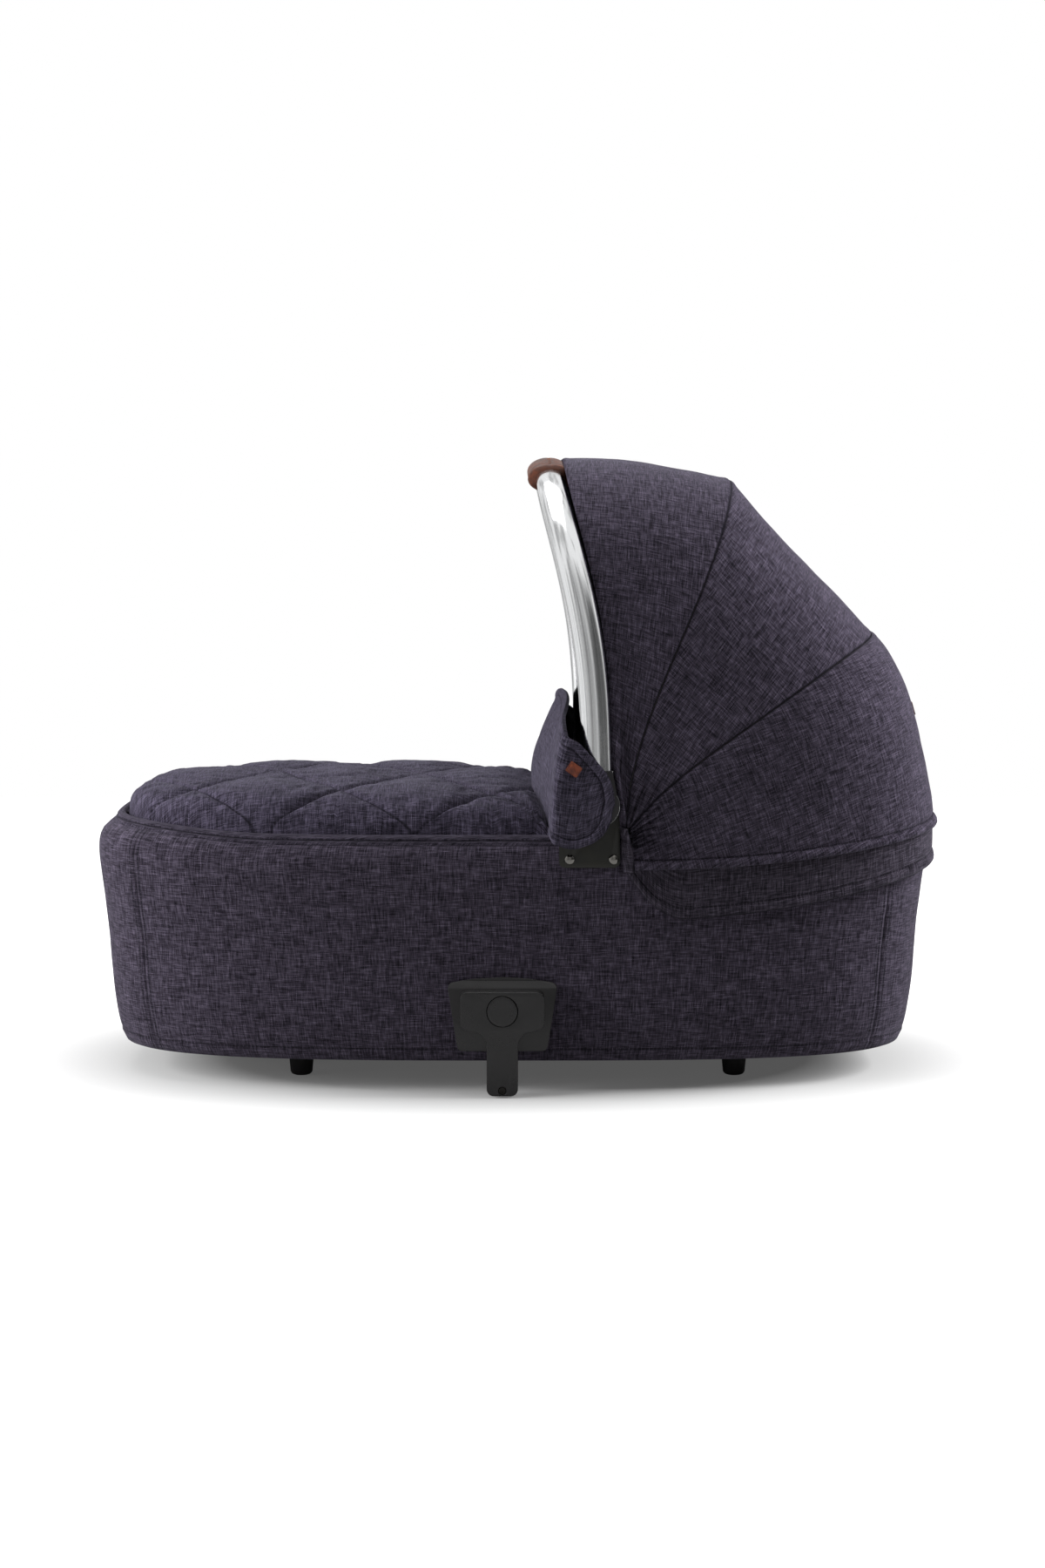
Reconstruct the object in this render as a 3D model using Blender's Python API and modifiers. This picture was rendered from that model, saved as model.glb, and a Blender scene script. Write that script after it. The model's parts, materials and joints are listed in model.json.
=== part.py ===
"""A carrycot for a pram: a fabric-covered tub on rubber feet, a quilted apron with a wind flap, and a hood of
three cloth panels on two bows that folds back with the carrying handle. It is in metres with +Z up: the head
end, under the hood, points along +X, and the origin is on the floor under the middle."""

import math

import bmesh
import bpy
import numpy
from mathutils import Matrix, Vector

# Clearances and overruns

GAP = 0.0003
SEAM_GAP = 0.0006
CUT_OVERRUN = 0.004

# Tub, its cover and its lining

FOOT_END = 0.4375
HEAD_END = 0.4260
TUB_HALF_WIDTH = 0.2070
PLAN_POWER = 3.2
TUB_BASE = 0.0320
COVER_TOP = 0.2490
COVER_TAPER = 0.0260
COVER_THICKNESS = 0.0020
TUB_WALL = 0.0040
LINER_THICKNESS = 0.0015
COVER_HEM_WIDTH = 0.0300
FOOT_HEIGHT = TUB_BASE - GAP
FOOT_TOP_RADIUS = 0.0140
FOOT_BASE_RADIUS = 0.0110
FOOT_SPACING_X = 0.4460
FOOT_SPACING_Y = 0.2000
BAND_HEIGHT = 0.0080
BAND_THICKNESS = 0.0040
BAND_INSET = 0.0090
BAND_LEAN = 0.0025
LINER_EASE = 0.0018
RIM_DROP = 0.0016
MATTRESS_THICKNESS = 0.0450
MATTRESS_MARGIN = 0.0040

# Quilted apron and wind flap

APRON_INSET = 0.0166
APRON_BASE = 0.2505
APRON_CROWN = 0.0580
APRON_THICKNESS = 0.0100
APRON_HEAD_EDGE = 0.0140
APRON_HEAD_SWEEP = 0.0180
APRON_HEAD_ROLL = 0.0600
QUILT_PERIOD = 0.1760
QUILT_NODE = -0.2450
QUILT_DEPTH = 0.0065
QUILT_SEAM_SHARE = 0.075
APRON_HEAD_DROP = 0.45
FLAP_RISE = 0.1030
FLAP_LEAN = 0.0360
FLAP_DROP_SHARE = 0.08
FLAP_STRAIGHTEN_SHARE = 0.20
FLAP_THICKNESS = 0.0040
FLAP_TAB_LENGTH = 0.0575
FLAP_TAB_HEIGHT = 0.1090
FLAP_LABEL_SIDE = 0.0125
FLAP_LABEL_THICKNESS = 0.0010
FLAP_LABEL_DEGREES = 42
FLAP_LABEL_X_SHARE = 0.40
FLAP_LABEL_Z_SHARE = 0.72

# Hinge stack, measured outwards from the middle

HINGE_X = 0.0800
HINGE_Z = 0.2920
PLATE_FACE = TUB_HALF_WIDTH + GAP
PLATE_THICKNESS = 0.0030
PLATE_WIDTH = 0.0600
PLATE_BOTTOM = 0.2290
PLATE_TOP = 0.3070
PLATE_CENTRE_X = 0.0710
PLATE_CORNER = 0.0060
RIVET_SPACING = 0.0434
RIVET_SHIFT_SHARE = 0.05
FRONT_RIVET_X = PLATE_CENTRE_X - (0.5 - RIVET_SHIFT_SHARE) * RIVET_SPACING
REAR_RIVET_X = PLATE_CENTRE_X + (0.5 + RIVET_SHIFT_SHARE) * RIVET_SPACING
RIVET_Z = 0.2372
RIVET_HEAD_RADIUS = 0.0050
RIVET_HEAD_HEIGHT = 0.0022
RIVET_RADIUS = 0.0025
PIN_RADIUS = 0.0040
PIN_HEAD_RADIUS = 0.0080
PIN_HEAD_HEIGHT = 0.0030
BOW_THICKNESS = 0.0020
BOW_WIDTH = 0.0080
BOW_INSET = 0.0042
EYELET_RADIUS = 0.0120
EYELET_THICKNESS = 0.0023
REAR_BOW_FACE = PLATE_FACE + PLATE_THICKNESS + GAP
MID_BOW_FACE = REAR_BOW_FACE + EYELET_THICKNESS + GAP
HUB_CLEARANCE = 0.0017
HUB_FACE = MID_BOW_FACE + EYELET_THICKNESS + HUB_CLEARANCE
HUB_THICKNESS = 0.0110
HUB_RADIUS = 0.0200
HUB_NECK = 0.0340
HINGE_BUTTON_RADIUS = 0.0120
HINGE_BUTTON_HEIGHT = 0.0048
HINGE_BUTTON_TRAVEL = 0.0025
HINGE_BUTTON_PROUD = 0.0013
HINGE_SPRING_ROOM = 0.0010
HINGE_POCKET_DEPTH = HINGE_BUTTON_HEIGHT - HINGE_BUTTON_PROUD + HINGE_BUTTON_TRAVEL + HINGE_SPRING_ROOM
HINGE_POCKET_FLOOR = HUB_THICKNESS - HINGE_POCKET_DEPTH
FLAP_CLEARANCE = 0.0008
FLAP_TAB_FACE = HUB_FACE + HUB_THICKNESS + HINGE_BUTTON_PROUD + FLAP_CLEARANCE

# Handle

HANDLE_REACH = 0.3295
HANDLE_OFFSET = 0.0008
HANDLE_HALF_WIDTH = HUB_FACE + HANDLE_OFFSET
TUBE_WIDTH = 0.0300
TUBE_DEPTH = 0.0200
GRIP_HALF_LENGTH = 0.1050
GRIP_THICKNESS = 0.0045
ARCH_POWER = 3.4
HANDLE_FIRST_STEP_SHARE = 1.2

# Hood cloth

GATHER_X = 0.1060
GATHER_Z = 0.2620
CLOTH_THICKNESS = 0.0012
CLOTH_EASE = 0.0032
CLOTH_HALF_WIDTH = MID_BOW_FACE + CLOTH_EASE
MID_REACH = 0.3655
REAR_REACH = 0.3215
TAIL_STEP = 0.0050
TAIL_RISE = 0.0080
FRONT_EDGE_OFFSET = 0.0175
FRONT_EDGE_RISE = 0.0105
FRONT_BULGE = 0.0070
MID_BULGE = -0.0010
BACK_BULGE = 0.0210
HEM_EASE = 0.0070
HEM_HALF_WIDTH = TUB_HALF_WIDTH + HEM_EASE
HEM_END = 0.4370
HEM_LOW = 0.2270
HEM_BACK_RISE = 0.0290
SKIRT_THICKNESS = 0.0016
SKIRT_TOP = 0.2560
SKIRT_LOW = 0.1800
SKIRT_BACK_RISE = 0.0400
SKIRT_RIVET_CLEARANCE = 0.00153
SKIRT_FRONT_X = REAR_RIVET_X + RIVET_HEAD_RADIUS + SKIRT_RIVET_CLEARANCE
SKIRT_FLARE = 0.0030
SKIRT_END = 0.4335
BACK_LABEL_WIDTH = 0.0140
BACK_LABEL_HEIGHT = 0.0380
BACK_LABEL_THICKNESS = 0.0015

# Chassis adapters

ADAPTER_X = -0.0150
ADAPTER_BASE_TOP = 0.1120
ADAPTER_BASE_BOTTOM = 0.0440
ADAPTER_BASE_TOP_WIDTH = 0.1100
ADAPTER_BASE_BOTTOM_WIDTH = 0.0890
ADAPTER_BASE_DROP = 0.0040
ADAPTER_BASE_FACE = TUB_HALF_WIDTH - ADAPTER_BASE_DROP
ADAPTER_BASE_CORNER = 0.0060
ADAPTER_BASE_EASE = 0.0024
ADAPTER_BASE_BEVEL_SHARE = 0.6
ADAPTER_THICKNESS = 0.0165
HOUSING_WIDTH = 0.0830
HOUSING_TOP = 0.1065
HOUSING_BOTTOM = 0.0695
HOUSING_CORNER = 0.0070
TONGUE_WIDTH = 0.0310
TONGUE_SHOULDER = 0.0560
TONGUE_SHOULDER_WIDTH = 0.0440
TONGUE_BOTTOM = 0.0020
TONGUE_CORNER = 0.0070
TONGUE_RELIEF = 0.0025
ADAPTER_BUTTON_Z = 0.0870
ADAPTER_BUTTON_RADIUS = 0.0150
ADAPTER_BUTTON_HEIGHT = 0.0070
ADAPTER_BUTTON_TRAVEL = 0.0030
ADAPTER_BUTTON_PROUD = 0.0010
LATCH_WIDTH = 0.0120
LATCH_BOTTOM = 0.0150
LATCH_TOP = 0.0620
LATCH_THICKNESS = 0.0030
LATCH_TRAVEL = 0.0040
LATCH_NOSE = 0.0030
ADAPTER_SCREW_Z = 0.0075
ADAPTER_SCREW_RADIUS = 0.0036
ADAPTER_SCREW_DEPTH = 0.0060
SPRING_WIRE = 0.0008

# Shares of the cover's height, and of its taper, down the wall's outline
WALL_HEIGHT_SHARES = (0.0, 0.09, 0.25, 0.53, 0.79, 0.90, 0.965, 1.0)
WALL_INSET_SHARES = (0.92, 0.70, 0.50, 0.35, 0.10, 0.0, 0.07, 0.33)

# Angles about the hinge or the gather point in degrees, at shares of each arch's reach
HANDLE_SHARES = (0.10, 0.41, 0.57, 0.73, 0.92, 1.0)
HANDLE_ANGLES = (93.4, 93.4, 94.6, 96.7, 98.2, 98.4)
MID_SHARES = (0.07, 0.19, 0.31, 0.46, 0.63, 0.82, 1.0)
MID_ANGLES = (86.6, 83.3, 78.6, 75.0, 72.8, 72.6, 71.9)
REAR_SHARES = (0.11, 0.26, 0.44, 0.60, 0.77, 0.88, 1.0)
REAR_ANGLES = (51.6, 45.0, 42.7, 40.7, 38.0, 37.9, 36.6)

# Counts of stations and rows, and the angle past which an edge is drawn sharp
ALONG = 40
ARCH_HALF_STATIONS = 12
BACK_ROWS = 9
BACK_LABEL_ROW = 4
HANDLE_HALF_STATIONS = 18
SMOOTH_DEGREES = 35

part = bpy.data.collections.new("carrycot")
helpers = bpy.data.collections.new("cutters")
for old in list(bpy.data.objects):
    bpy.data.objects.remove(old)
bpy.context.scene.collection.children.link(part)
bpy.context.scene.collection.children.link(helpers)
helpers.hide_render = True


def material(name, colour, roughness, metallic=0.0):
    made = bpy.data.materials.new(name)
    made.use_nodes = True
    shader = made.node_tree.nodes["Principled BSDF"]
    shader.inputs["Base Color"].default_value = (*colour, 1.0)
    shader.inputs["Roughness"].default_value = roughness
    shader.inputs["Metallic"].default_value = metallic
    return made


NAVY_CLOTH = material("navy_cloth", (0.022, 0.024, 0.030), 0.9)
BLACK_CLOTH = material("black_cloth", (0.008, 0.008, 0.009), 0.95)
LINING_CLOTH = material("lining_cloth", (0.030, 0.030, 0.034), 0.9)
LEATHER = material("brown_leather", (0.060, 0.028, 0.016), 0.55)
BLACK_PLASTIC = material("black_plastic", (0.020, 0.020, 0.021), 0.45)
BLACK_RUBBER = material("black_rubber", (0.012, 0.012, 0.012), 0.8)
ALUMINIUM = material("polished_aluminium", (0.80, 0.80, 0.79), 0.18, 1.0)
CHROME = material("chrome", (0.85, 0.85, 0.85), 0.08, 1.0)
STEEL = material("steel", (0.50, 0.50, 0.50), 0.35, 1.0)
OLIVE_METAL = material("olive_metal", (0.045, 0.044, 0.036), 0.45, 0.6)


# Placing and shaping

def add(name, data, surface):
    made = bpy.data.objects.new(name, data)
    data.materials.clear()
    data.materials.append(surface)
    part.objects.link(made)
    if made.type == "MESH":
        data.shade_smooth()
        data.set_sharp_from_angle(angle=math.radians(SMOOTH_DEGREES))
    return made


def mesh_of(made):
    """The object's mesh as its modifiers leave it, in world space, with a curve's caps welded on."""
    bpy.context.view_layer.update()
    mesh = bpy.data.meshes.new_from_object(made.evaluated_get(bpy.context.evaluated_depsgraph_get()))
    mesh.transform(made.matrix_world)
    work = bmesh.new()
    work.from_mesh(mesh)
    bmesh.ops.remove_doubles(work, verts=work.verts, dist=GAP / 10)
    bmesh.ops.recalc_face_normals(work, faces=work.faces)
    work.to_mesh(mesh)
    work.free()
    return mesh


def baked(made):
    """Swaps a curve or a modified object for a plain mesh of the same shape and name."""
    mesh = mesh_of(made)
    name, surface = made.name, made.data.materials[0]
    bpy.data.objects.remove(made)
    return add(name, mesh, surface)


def combine(made, other, operation):
    """Joins or cuts with a helper object, which stays in the file as a wire."""
    for home in list(other.users_collection):
        home.objects.unlink(other)
    helpers.objects.link(other)
    other.hide_render = True
    other.display_type = "WIRE"
    change = made.modifiers.new(operation.lower(), "BOOLEAN")
    change.operation = operation
    change.object = other
    return made


def pivot(name, parent=None):
    made = bpy.data.objects.new(name, None)
    part.objects.link(made)
    made.empty_display_size = HUB_RADIUS
    made.location = (HINGE_X, 0, HINGE_Z)
    if parent:
        made.parent = parent
        made.location = (0, 0, 0)
    return made


def carry(made, parent):
    """Puts an object under a pivot with its shape where it is."""
    made.parent = parent
    made.location -= Vector((HINGE_X, 0, HINGE_Z))
    return made


def mirrored(made, name):
    """The far side's copy of a near-side piece."""
    mesh = mesh_of(made)
    mesh.transform(Matrix.Scale(-1, 4, (0, 1, 0)))
    mesh.flip_normals()
    return add(name, mesh, made.data.materials[0])


def pair(made, stem):
    """Names a near-side piece stem_right, adds its far-side copy stem_left, and gives both."""
    made.name = stem + "_right"
    return [made, mirrored(made, stem + "_left")]


def surface_mesh(name, rows, closed_rows=False):
    """An open sheet through rows of points, each row with as many points as the next."""
    work = bmesh.new()
    grid = [[work.verts.new(point) for point in row] for row in rows]
    across = len(rows[0])
    for low, high in zip(grid, grid[1:]):
        for i in range(across if closed_rows else across - 1):
            j = (i + 1) % across
            work.faces.new((low[i], low[j], high[j], high[i]))
    mesh = bpy.data.meshes.new(name)
    work.to_mesh(mesh)
    work.free()
    return mesh


def thicken(made, thickness, offset=0.0):
    shell = made.modifiers.new("thickness", "SOLIDIFY")
    shell.thickness = thickness
    shell.offset = offset
    shell.use_even_offset = True
    return made


def prism(name, outline, y_near, y_far, surface):
    """A flat outline in X and Z, given as corner points, with its faces at the two Y values."""
    curve = bpy.data.curves.new(name, "CURVE")
    curve.dimensions = "2D"
    curve.fill_mode = "BOTH"
    curve.extrude = abs(y_far - y_near) / 2
    line = curve.splines.new("POLY")
    line.points.add(len(outline) - 1)
    for corner, (x, z) in zip(line.points, outline):
        corner.co = (x, z, 0, 1)
    line.use_cyclic_u = True
    made = add(name, curve, surface)
    made.rotation_euler.x = math.radians(90)
    made.location.y = (y_near + y_far) / 2
    return baked(made)


def rounded(corners, steps=5):
    """An outline from (x, z, radius) corners, each corner an arc of steps chords."""
    points = []
    for i, (x, z, radius) in enumerate(corners):
        here = Vector((x, z))
        before = (Vector(corners[i - 1][:2]) - here).normalized()
        after = (Vector(corners[(i + 1) % len(corners)][:2]) - here).normalized()
        if radius == 0:
            points.append(tuple(here))
            continue
        half = before.angle(after) / 2
        middle = here + (before + after).normalized() * radius / math.sin(half)
        start = here + before * radius / math.tan(half) - middle
        end = here + after * radius / math.tan(half) - middle
        turn = start.angle_signed(end)
        for k in range(steps + 1):
            swung = start.copy()
            swung.rotate(Matrix.Rotation(-turn * k / steps, 2))
            points.append(tuple(middle + swung))
    return points


def drum(name, x, z, radius, y_near, y_far, surface, sides=24):
    """A cylinder along Y."""
    bpy.ops.mesh.primitive_cylinder_add(
        vertices=sides,
        radius=radius,
        depth=abs(y_far - y_near),
        location=(x, (y_near + y_far) / 2, z),
        rotation=(math.radians(90), 0, 0),
    )
    return taken(name, surface)


def block(name, low, high, surface):
    """A box between two corners."""
    middle = (Vector(low) + Vector(high)) / 2
    bpy.ops.mesh.primitive_cube_add(size=1, location=middle)
    bpy.context.object.scale = Vector(high) - Vector(low)
    return taken(name, surface)


def taken(name, surface):
    """The object that a primitive call just added, with its place and scale applied to its mesh."""
    made = bpy.context.object
    mesh = made.data
    bpy.context.view_layer.update()
    mesh.transform(made.matrix_world)
    mesh.name = name
    bpy.data.objects.remove(made)
    return add(name, mesh, surface)


def turned(name, profile, x, y, z, surface, steps=24):
    """A profile of (radius, height) points turned about an axis along Y, its heights running towards -Y."""
    mesh = bpy.data.meshes.new(name)
    corners = [(radius, 0, height) for radius, height in profile]
    mesh.from_pydata(corners, [(i, i + 1) for i in range(len(profile) - 1)], [])
    made = add(name, mesh, surface)
    turn = made.modifiers.new("turn", "SCREW")
    turn.steps = steps
    turn.render_steps = steps
    turn.use_merge_vertices = True
    turn.merge_threshold = GAP / 10
    made.rotation_euler.x = math.radians(90)
    made.location = (x, y, z)
    return baked(made)


def tube(name, points, radius, surface, resolution=3, stretch=1.0):
    """A bar along the points, widened along X by the stretch."""
    curve = bpy.data.curves.new(name, "CURVE")
    curve.dimensions = "3D"
    curve.bevel_depth = radius
    curve.bevel_resolution = resolution
    curve.use_fill_caps = True
    line = curve.splines.new("POLY")
    line.points.add(len(points) - 1)
    for corner, (x, y, z) in zip(line.points, points):
        corner.co = (x / stretch, y, z, 1)
    made = add(name, curve, surface)
    made.scale.x = stretch
    return baked(made)


def coil(name, x, z, radius, y_near, y_far, turns, surface):
    """A spring along Y with its ends at the two Y values."""
    points = []
    steps = turns * 8
    length = y_far - y_near
    wire = math.copysign(SPRING_WIRE, length) / 2
    for k in range(steps + 1):
        angle = 2 * math.pi * k / 8
        along = y_near + wire + (length - 2 * wire) * k / steps
        points.append((x + radius * math.cos(angle), along, z + radius * math.sin(angle)))
    return tube(name, points, SPRING_WIRE / 2, surface, resolution=0)


# Tub outlines

def plan_point(share, inset):
    """A point of the tub's plan, moved in by inset: share runs once round from the head end."""
    angle = 2 * math.pi * share
    c, s = math.cos(angle), math.sin(angle)
    reach = (abs(c) ** PLAN_POWER + abs(s) ** PLAN_POWER) ** (-1 / PLAN_POWER)
    length = (HEAD_END if c > 0 else FOOT_END) - inset
    return length * reach * c, (TUB_HALF_WIDTH - inset) * reach * s


def plan_half_width(x, inset):
    """Half the tub's width at x, measured in by inset."""
    length = (HEAD_END if x > 0 else FOOT_END) - inset
    share = min(1.0, abs(x) / length)
    return (TUB_HALF_WIDTH - inset) * (1 - share**PLAN_POWER) ** (1 / PLAN_POWER)


def ring(z, inset, count=ALONG):
    return [(*plan_point(k / count, inset), z) for k in range(count)]


def wall_inset(z):
    """How far the cover's outer face is in from its widest at this height."""
    share = (z - TUB_BASE) / (COVER_TOP - TUB_BASE)
    return COVER_TAPER * float(numpy.interp(share, WALL_HEIGHT_SHARES, WALL_INSET_SHARES))


def wall_heights():
    return [TUB_BASE + (COVER_TOP - TUB_BASE) * share for share in WALL_HEIGHT_SHARES]


def capped(mesh, lowest_only):
    """Closes the sheet's open edges with flat faces, or only its lowest one."""
    work = bmesh.new()
    work.from_mesh(mesh)
    edges = [edge for edge in work.edges if edge.is_boundary]
    if lowest_only:
        low = min(vert.co.z for vert in work.verts)
        edges = [edge for edge in edges if all(abs(vert.co.z - low) < GAP / 10 for vert in edge.verts)]
    bmesh.ops.holes_fill(work, edges=edges, sides=0)
    bmesh.ops.recalc_face_normals(work, faces=work.faces)
    work.to_mesh(mesh)
    work.free()
    return mesh


# Tub shell, cover, lining and rim band

def build_tub():
    shell_inset = COVER_THICKNESS + GAP
    rows = [ring(z, wall_inset(z) + shell_inset) for z in wall_heights()[:-2]]
    rows += [ring(z - RIM_DROP, wall_inset(z) + shell_inset) for z in wall_heights()[-2:]]
    shell = add("tub_shell", capped(surface_mesh("tub_shell", rows, True), True), BLACK_PLASTIC)
    shell = baked(thicken(shell, TUB_WALL, -1))

    hem = TUB_BASE - shell_inset
    heights = [hem] + wall_heights()[1:]
    rows = [ring(hem, wall_inset(TUB_BASE) + COVER_HEM_WIDTH)] + [ring(z, wall_inset(z)) for z in heights]
    cover = add("outer_cover", surface_mesh("outer_cover", rows, True), NAVY_CLOTH)
    cover = baked(thicken(cover, COVER_THICKNESS, -1))

    lining = shell_inset + TUB_WALL + LINER_EASE
    heights = [TUB_BASE + TUB_WALL + LINER_EASE] + wall_heights()[1:-2:2] + [wall_heights()[-2] - RIM_DROP]
    rows = [ring(z, wall_inset(z) + lining) for z in heights]
    liner = add("liner", surface_mesh("liner", rows, True), LINING_CLOTH)
    baked(thicken(liner, LINER_THICKNESS, -1))

    bottom = COVER_TOP + GAP
    rows = []
    for height_share, lean_share in ((0.0, 0.0), (0.4, 0.0), (0.8, 0.4), (1.0, 1.0)):
        rows.append(ring(bottom + BAND_HEIGHT * height_share, BAND_INSET + BAND_LEAN * lean_share))
    band = add("rim_zip_band", surface_mesh("rim_zip_band", rows, True), BLACK_CLOTH)
    baked(thicken(band, BAND_THICKNESS, -1))
    return shell, cover


def build_feet():
    for end, along in (("foot", -1), ("head", 1)):
        for side, across in (("right", -1), ("left", 1)):
            place = (along * FOOT_SPACING_X / 2, across * FOOT_SPACING_Y / 2, FOOT_HEIGHT / 2)
            bpy.ops.mesh.primitive_cone_add(
                vertices=16,
                radius1=FOOT_BASE_RADIUS,
                radius2=FOOT_TOP_RADIUS,
                depth=FOOT_HEIGHT,
                location=place,
            )
            foot = taken(f"rubber_foot_{end}_{side}", BLACK_RUBBER)
            edge = foot.modifiers.new("edge", "BEVEL")
            edge.width = FOOT_TOP_RADIUS - FOOT_BASE_RADIUS
            edge.segments = 2
            edge.limit_method = "ANGLE"
            edge.angle_limit = math.radians(60)


def build_mattress():
    floor = TUB_BASE + TUB_WALL + GAP
    walls = COVER_THICKNESS + GAP + TUB_WALL + LINER_EASE + LINER_THICKNESS
    clear = wall_inset(floor) + walls + MATTRESS_MARGIN
    height_shares = (0.0, 0.10, 0.36, 0.62, 0.82, 0.92, 0.97, 1.0)
    narrowing_shares = (0.050, 0.018, 0.0, 0.012, 0.060, 0.22, 0.50, 0.80)
    rows = []
    for height_share, narrowing_share in zip(height_shares, narrowing_shares):
        inset = clear + (TUB_HALF_WIDTH - clear) * narrowing_share
        rows.append(ring(floor + MATTRESS_THICKNESS * height_share, inset, 32))
    add("mattress", capped(surface_mesh("mattress", rows, True), False), LINING_CLOTH)


# Quilted apron

def apron_head_edge(share_across):
    return APRON_HEAD_EDGE + APRON_HEAD_SWEEP * share_across**2


def quilt_dip(x, across):
    """The stitching's pull at a place: 1 on the two crossing families of seams, 0 between them."""
    dip = 0.0
    for way in (-1, 1):
        phase = (x - QUILT_NODE) / QUILT_PERIOD + way * across
        away = abs(phase - round(phase))
        dip = max(dip, math.exp(-((away / QUILT_SEAM_SHARE) ** 2)))
    return dip


def apron_point(x, across):
    """A point of the apron's upper face, where across runs from -1 at the near edge to 1."""
    half = plan_half_width(min(x, 0.0), APRON_INSET)
    share = math.sin(across * math.pi / 2)
    y = half * share
    along = abs(min(x, 0.0)) / (FOOT_END - APRON_INSET)
    out = abs(y / (TUB_HALF_WIDTH - APRON_INSET))
    rim = min(1.0, (along**PLAN_POWER + out**PLAN_POWER) ** (1 / PLAN_POWER))
    rise = (1 - rim**4) ** 0.25
    roll = max(0.0, (x - APRON_HEAD_EDGE + APRON_HEAD_ROLL) / APRON_HEAD_ROLL)
    rise *= 1 - APRON_HEAD_DROP * min(1.0, roll) ** 4
    dip = quilt_dip(x, across) * QUILT_DEPTH * min(1.0, 2 * rise**2)
    return Vector((x, y, APRON_BASE + APRON_CROWN * rise - dip))


def build_apron():
    across_steps = 16
    step = QUILT_PERIOD / 8
    length = FOOT_END - APRON_INSET
    tip_share = 0.985
    rows = []
    tip_half = plan_half_width(-length * tip_share, APRON_INSET)
    tip = []
    for j in range(across_steps + 1):
        y = tip_half * math.sin((2 * j / across_steps - 1) * math.pi / 2)
        away = (1 - abs(y / (TUB_HALF_WIDTH - APRON_INSET)) ** PLAN_POWER) ** (1 / PLAN_POWER)
        tip.append(Vector((-length * away, y, APRON_BASE)))
    rows.append(tip)
    places = [-length * tip_share]
    x = QUILT_NODE + step * math.ceil((-length * tip_share - QUILT_NODE) / step + 0.5)
    while x < APRON_HEAD_EDGE - step:
        places.append(x)
        x += step
    for x in places:
        rows.append([apron_point(x, 2 * j / across_steps - 1) for j in range(across_steps + 1)])
    last = places[-1]
    for along in (0.5, 1.0):
        row = []
        for j in range(across_steps + 1):
            across = 2 * j / across_steps - 1
            end = apron_head_edge(math.sin(across * math.pi / 2))
            point = apron_point(last + (APRON_HEAD_EDGE - last) * along, across)
            row.append(Vector((last + (end - last) * along, point.y, point.z)))
        rows.append(row)
    mesh = surface_mesh("apron", [row[::-1] for row in rows])
    work = bmesh.new()
    work.from_mesh(mesh)
    bmesh.ops.remove_doubles(work, verts=work.verts, dist=GAP / 10)
    for face in [face for face in work.faces if len(face.verts) == 4]:
        a, b, c, d = face.verts
        if a.co.z + c.co.z > b.co.z + d.co.z:
            a, b, c, d = b, c, d, a
        bmesh.utils.face_split(face, a, c)
    work.to_mesh(mesh)
    work.free()
    apron = add("apron", mesh, NAVY_CLOTH)
    baked(thicken(apron, APRON_THICKNESS, -1))


# Wind flap: a collar across the apron's head edge whose tabs lie over the hinges

def flap_rows():
    tab = FLAP_TAB_FACE + FLAP_THICKNESS / 2
    edge = FLAP_THICKNESS / 2 + GAP
    bottom, top = [], []
    half = TUB_HALF_WIDTH - APRON_INSET
    for share in (0.0, 0.25, 0.48, 0.68, 0.85, 0.985):
        across = math.asin(share) * 2 / math.pi
        seam = apron_point(APRON_HEAD_EDGE, across)
        x = apron_head_edge(share) + edge
        bottom.append(Vector((x, half * share, seam.z)))
        lean = APRON_HEAD_EDGE + edge + FLAP_LEAN * (1 - FLAP_STRAIGHTEN_SHARE * share**2)
        rise = apron_point(APRON_HEAD_EDGE, 0.0).z + FLAP_RISE * (1 - FLAP_DROP_SHARE * share**3)
        top.append(Vector((lean, half * share, rise)))
    front = apron_head_edge(1.0) - GAP
    low = APRON_BASE
    for across_share, x_share, z_share, top_x_share, top_z_share in (
        (0.90, 0.00, 0.00, 0.24, 1.11),
        (0.97, 0.04, 0.00, 0.25, 1.07),
        (1.00, 0.09, 0.01, 0.30, 1.01),
        (1.00, 0.26, 0.01, 0.50, 0.95),
        (1.00, 0.42, 0.03, 0.66, 0.86),
        (1.00, 0.56, 0.06, 0.80, 0.76),
        (1.00, 0.72, 0.11, 0.92, 0.66),
        (1.00, 0.86, 0.18, 1.02, 0.54),
        (1.00, 1.00, 0.27, 1.06, 0.40),
    ):
        y = tab * across_share
        bottom.append(Vector((front + FLAP_TAB_LENGTH * x_share, y, low + FLAP_TAB_HEIGHT * z_share)))
        top.append(Vector((front + FLAP_TAB_LENGTH * top_x_share, y, low + FLAP_TAB_HEIGHT * top_z_share)))
    rows = []
    steps = 5
    for k in range(steps + 1):
        up = k / steps
        row = []
        for start, end in zip(bottom, top):
            point = start.lerp(end, up)
            point.x = start.x + (end.x - start.x) * up**2
            row.append(point)
        near = [Vector((point.x, -point.y, point.z)) for point in row[:0:-1]]
        rows.append(near + row)
    return rows


def build_flap():
    flap = add("wind_flap", surface_mesh("wind_flap", flap_rows()), NAVY_CLOTH)
    baked(thicken(flap, FLAP_THICKNESS))
    face = -(FLAP_TAB_FACE + FLAP_THICKNESS + GAP)
    half = FLAP_LABEL_SIDE / 2
    label = block("flap_label", (-half, face - FLAP_LABEL_THICKNESS, -half), (half, face, half), LEATHER)
    label.rotation_euler.y = math.radians(FLAP_LABEL_DEGREES)
    label.location.x = apron_head_edge(1.0) + FLAP_TAB_LENGTH * FLAP_LABEL_X_SHARE
    label.location.z = APRON_BASE + FLAP_TAB_HEIGHT * FLAP_LABEL_Z_SHARE


# Hinge hardware on the tub

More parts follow.
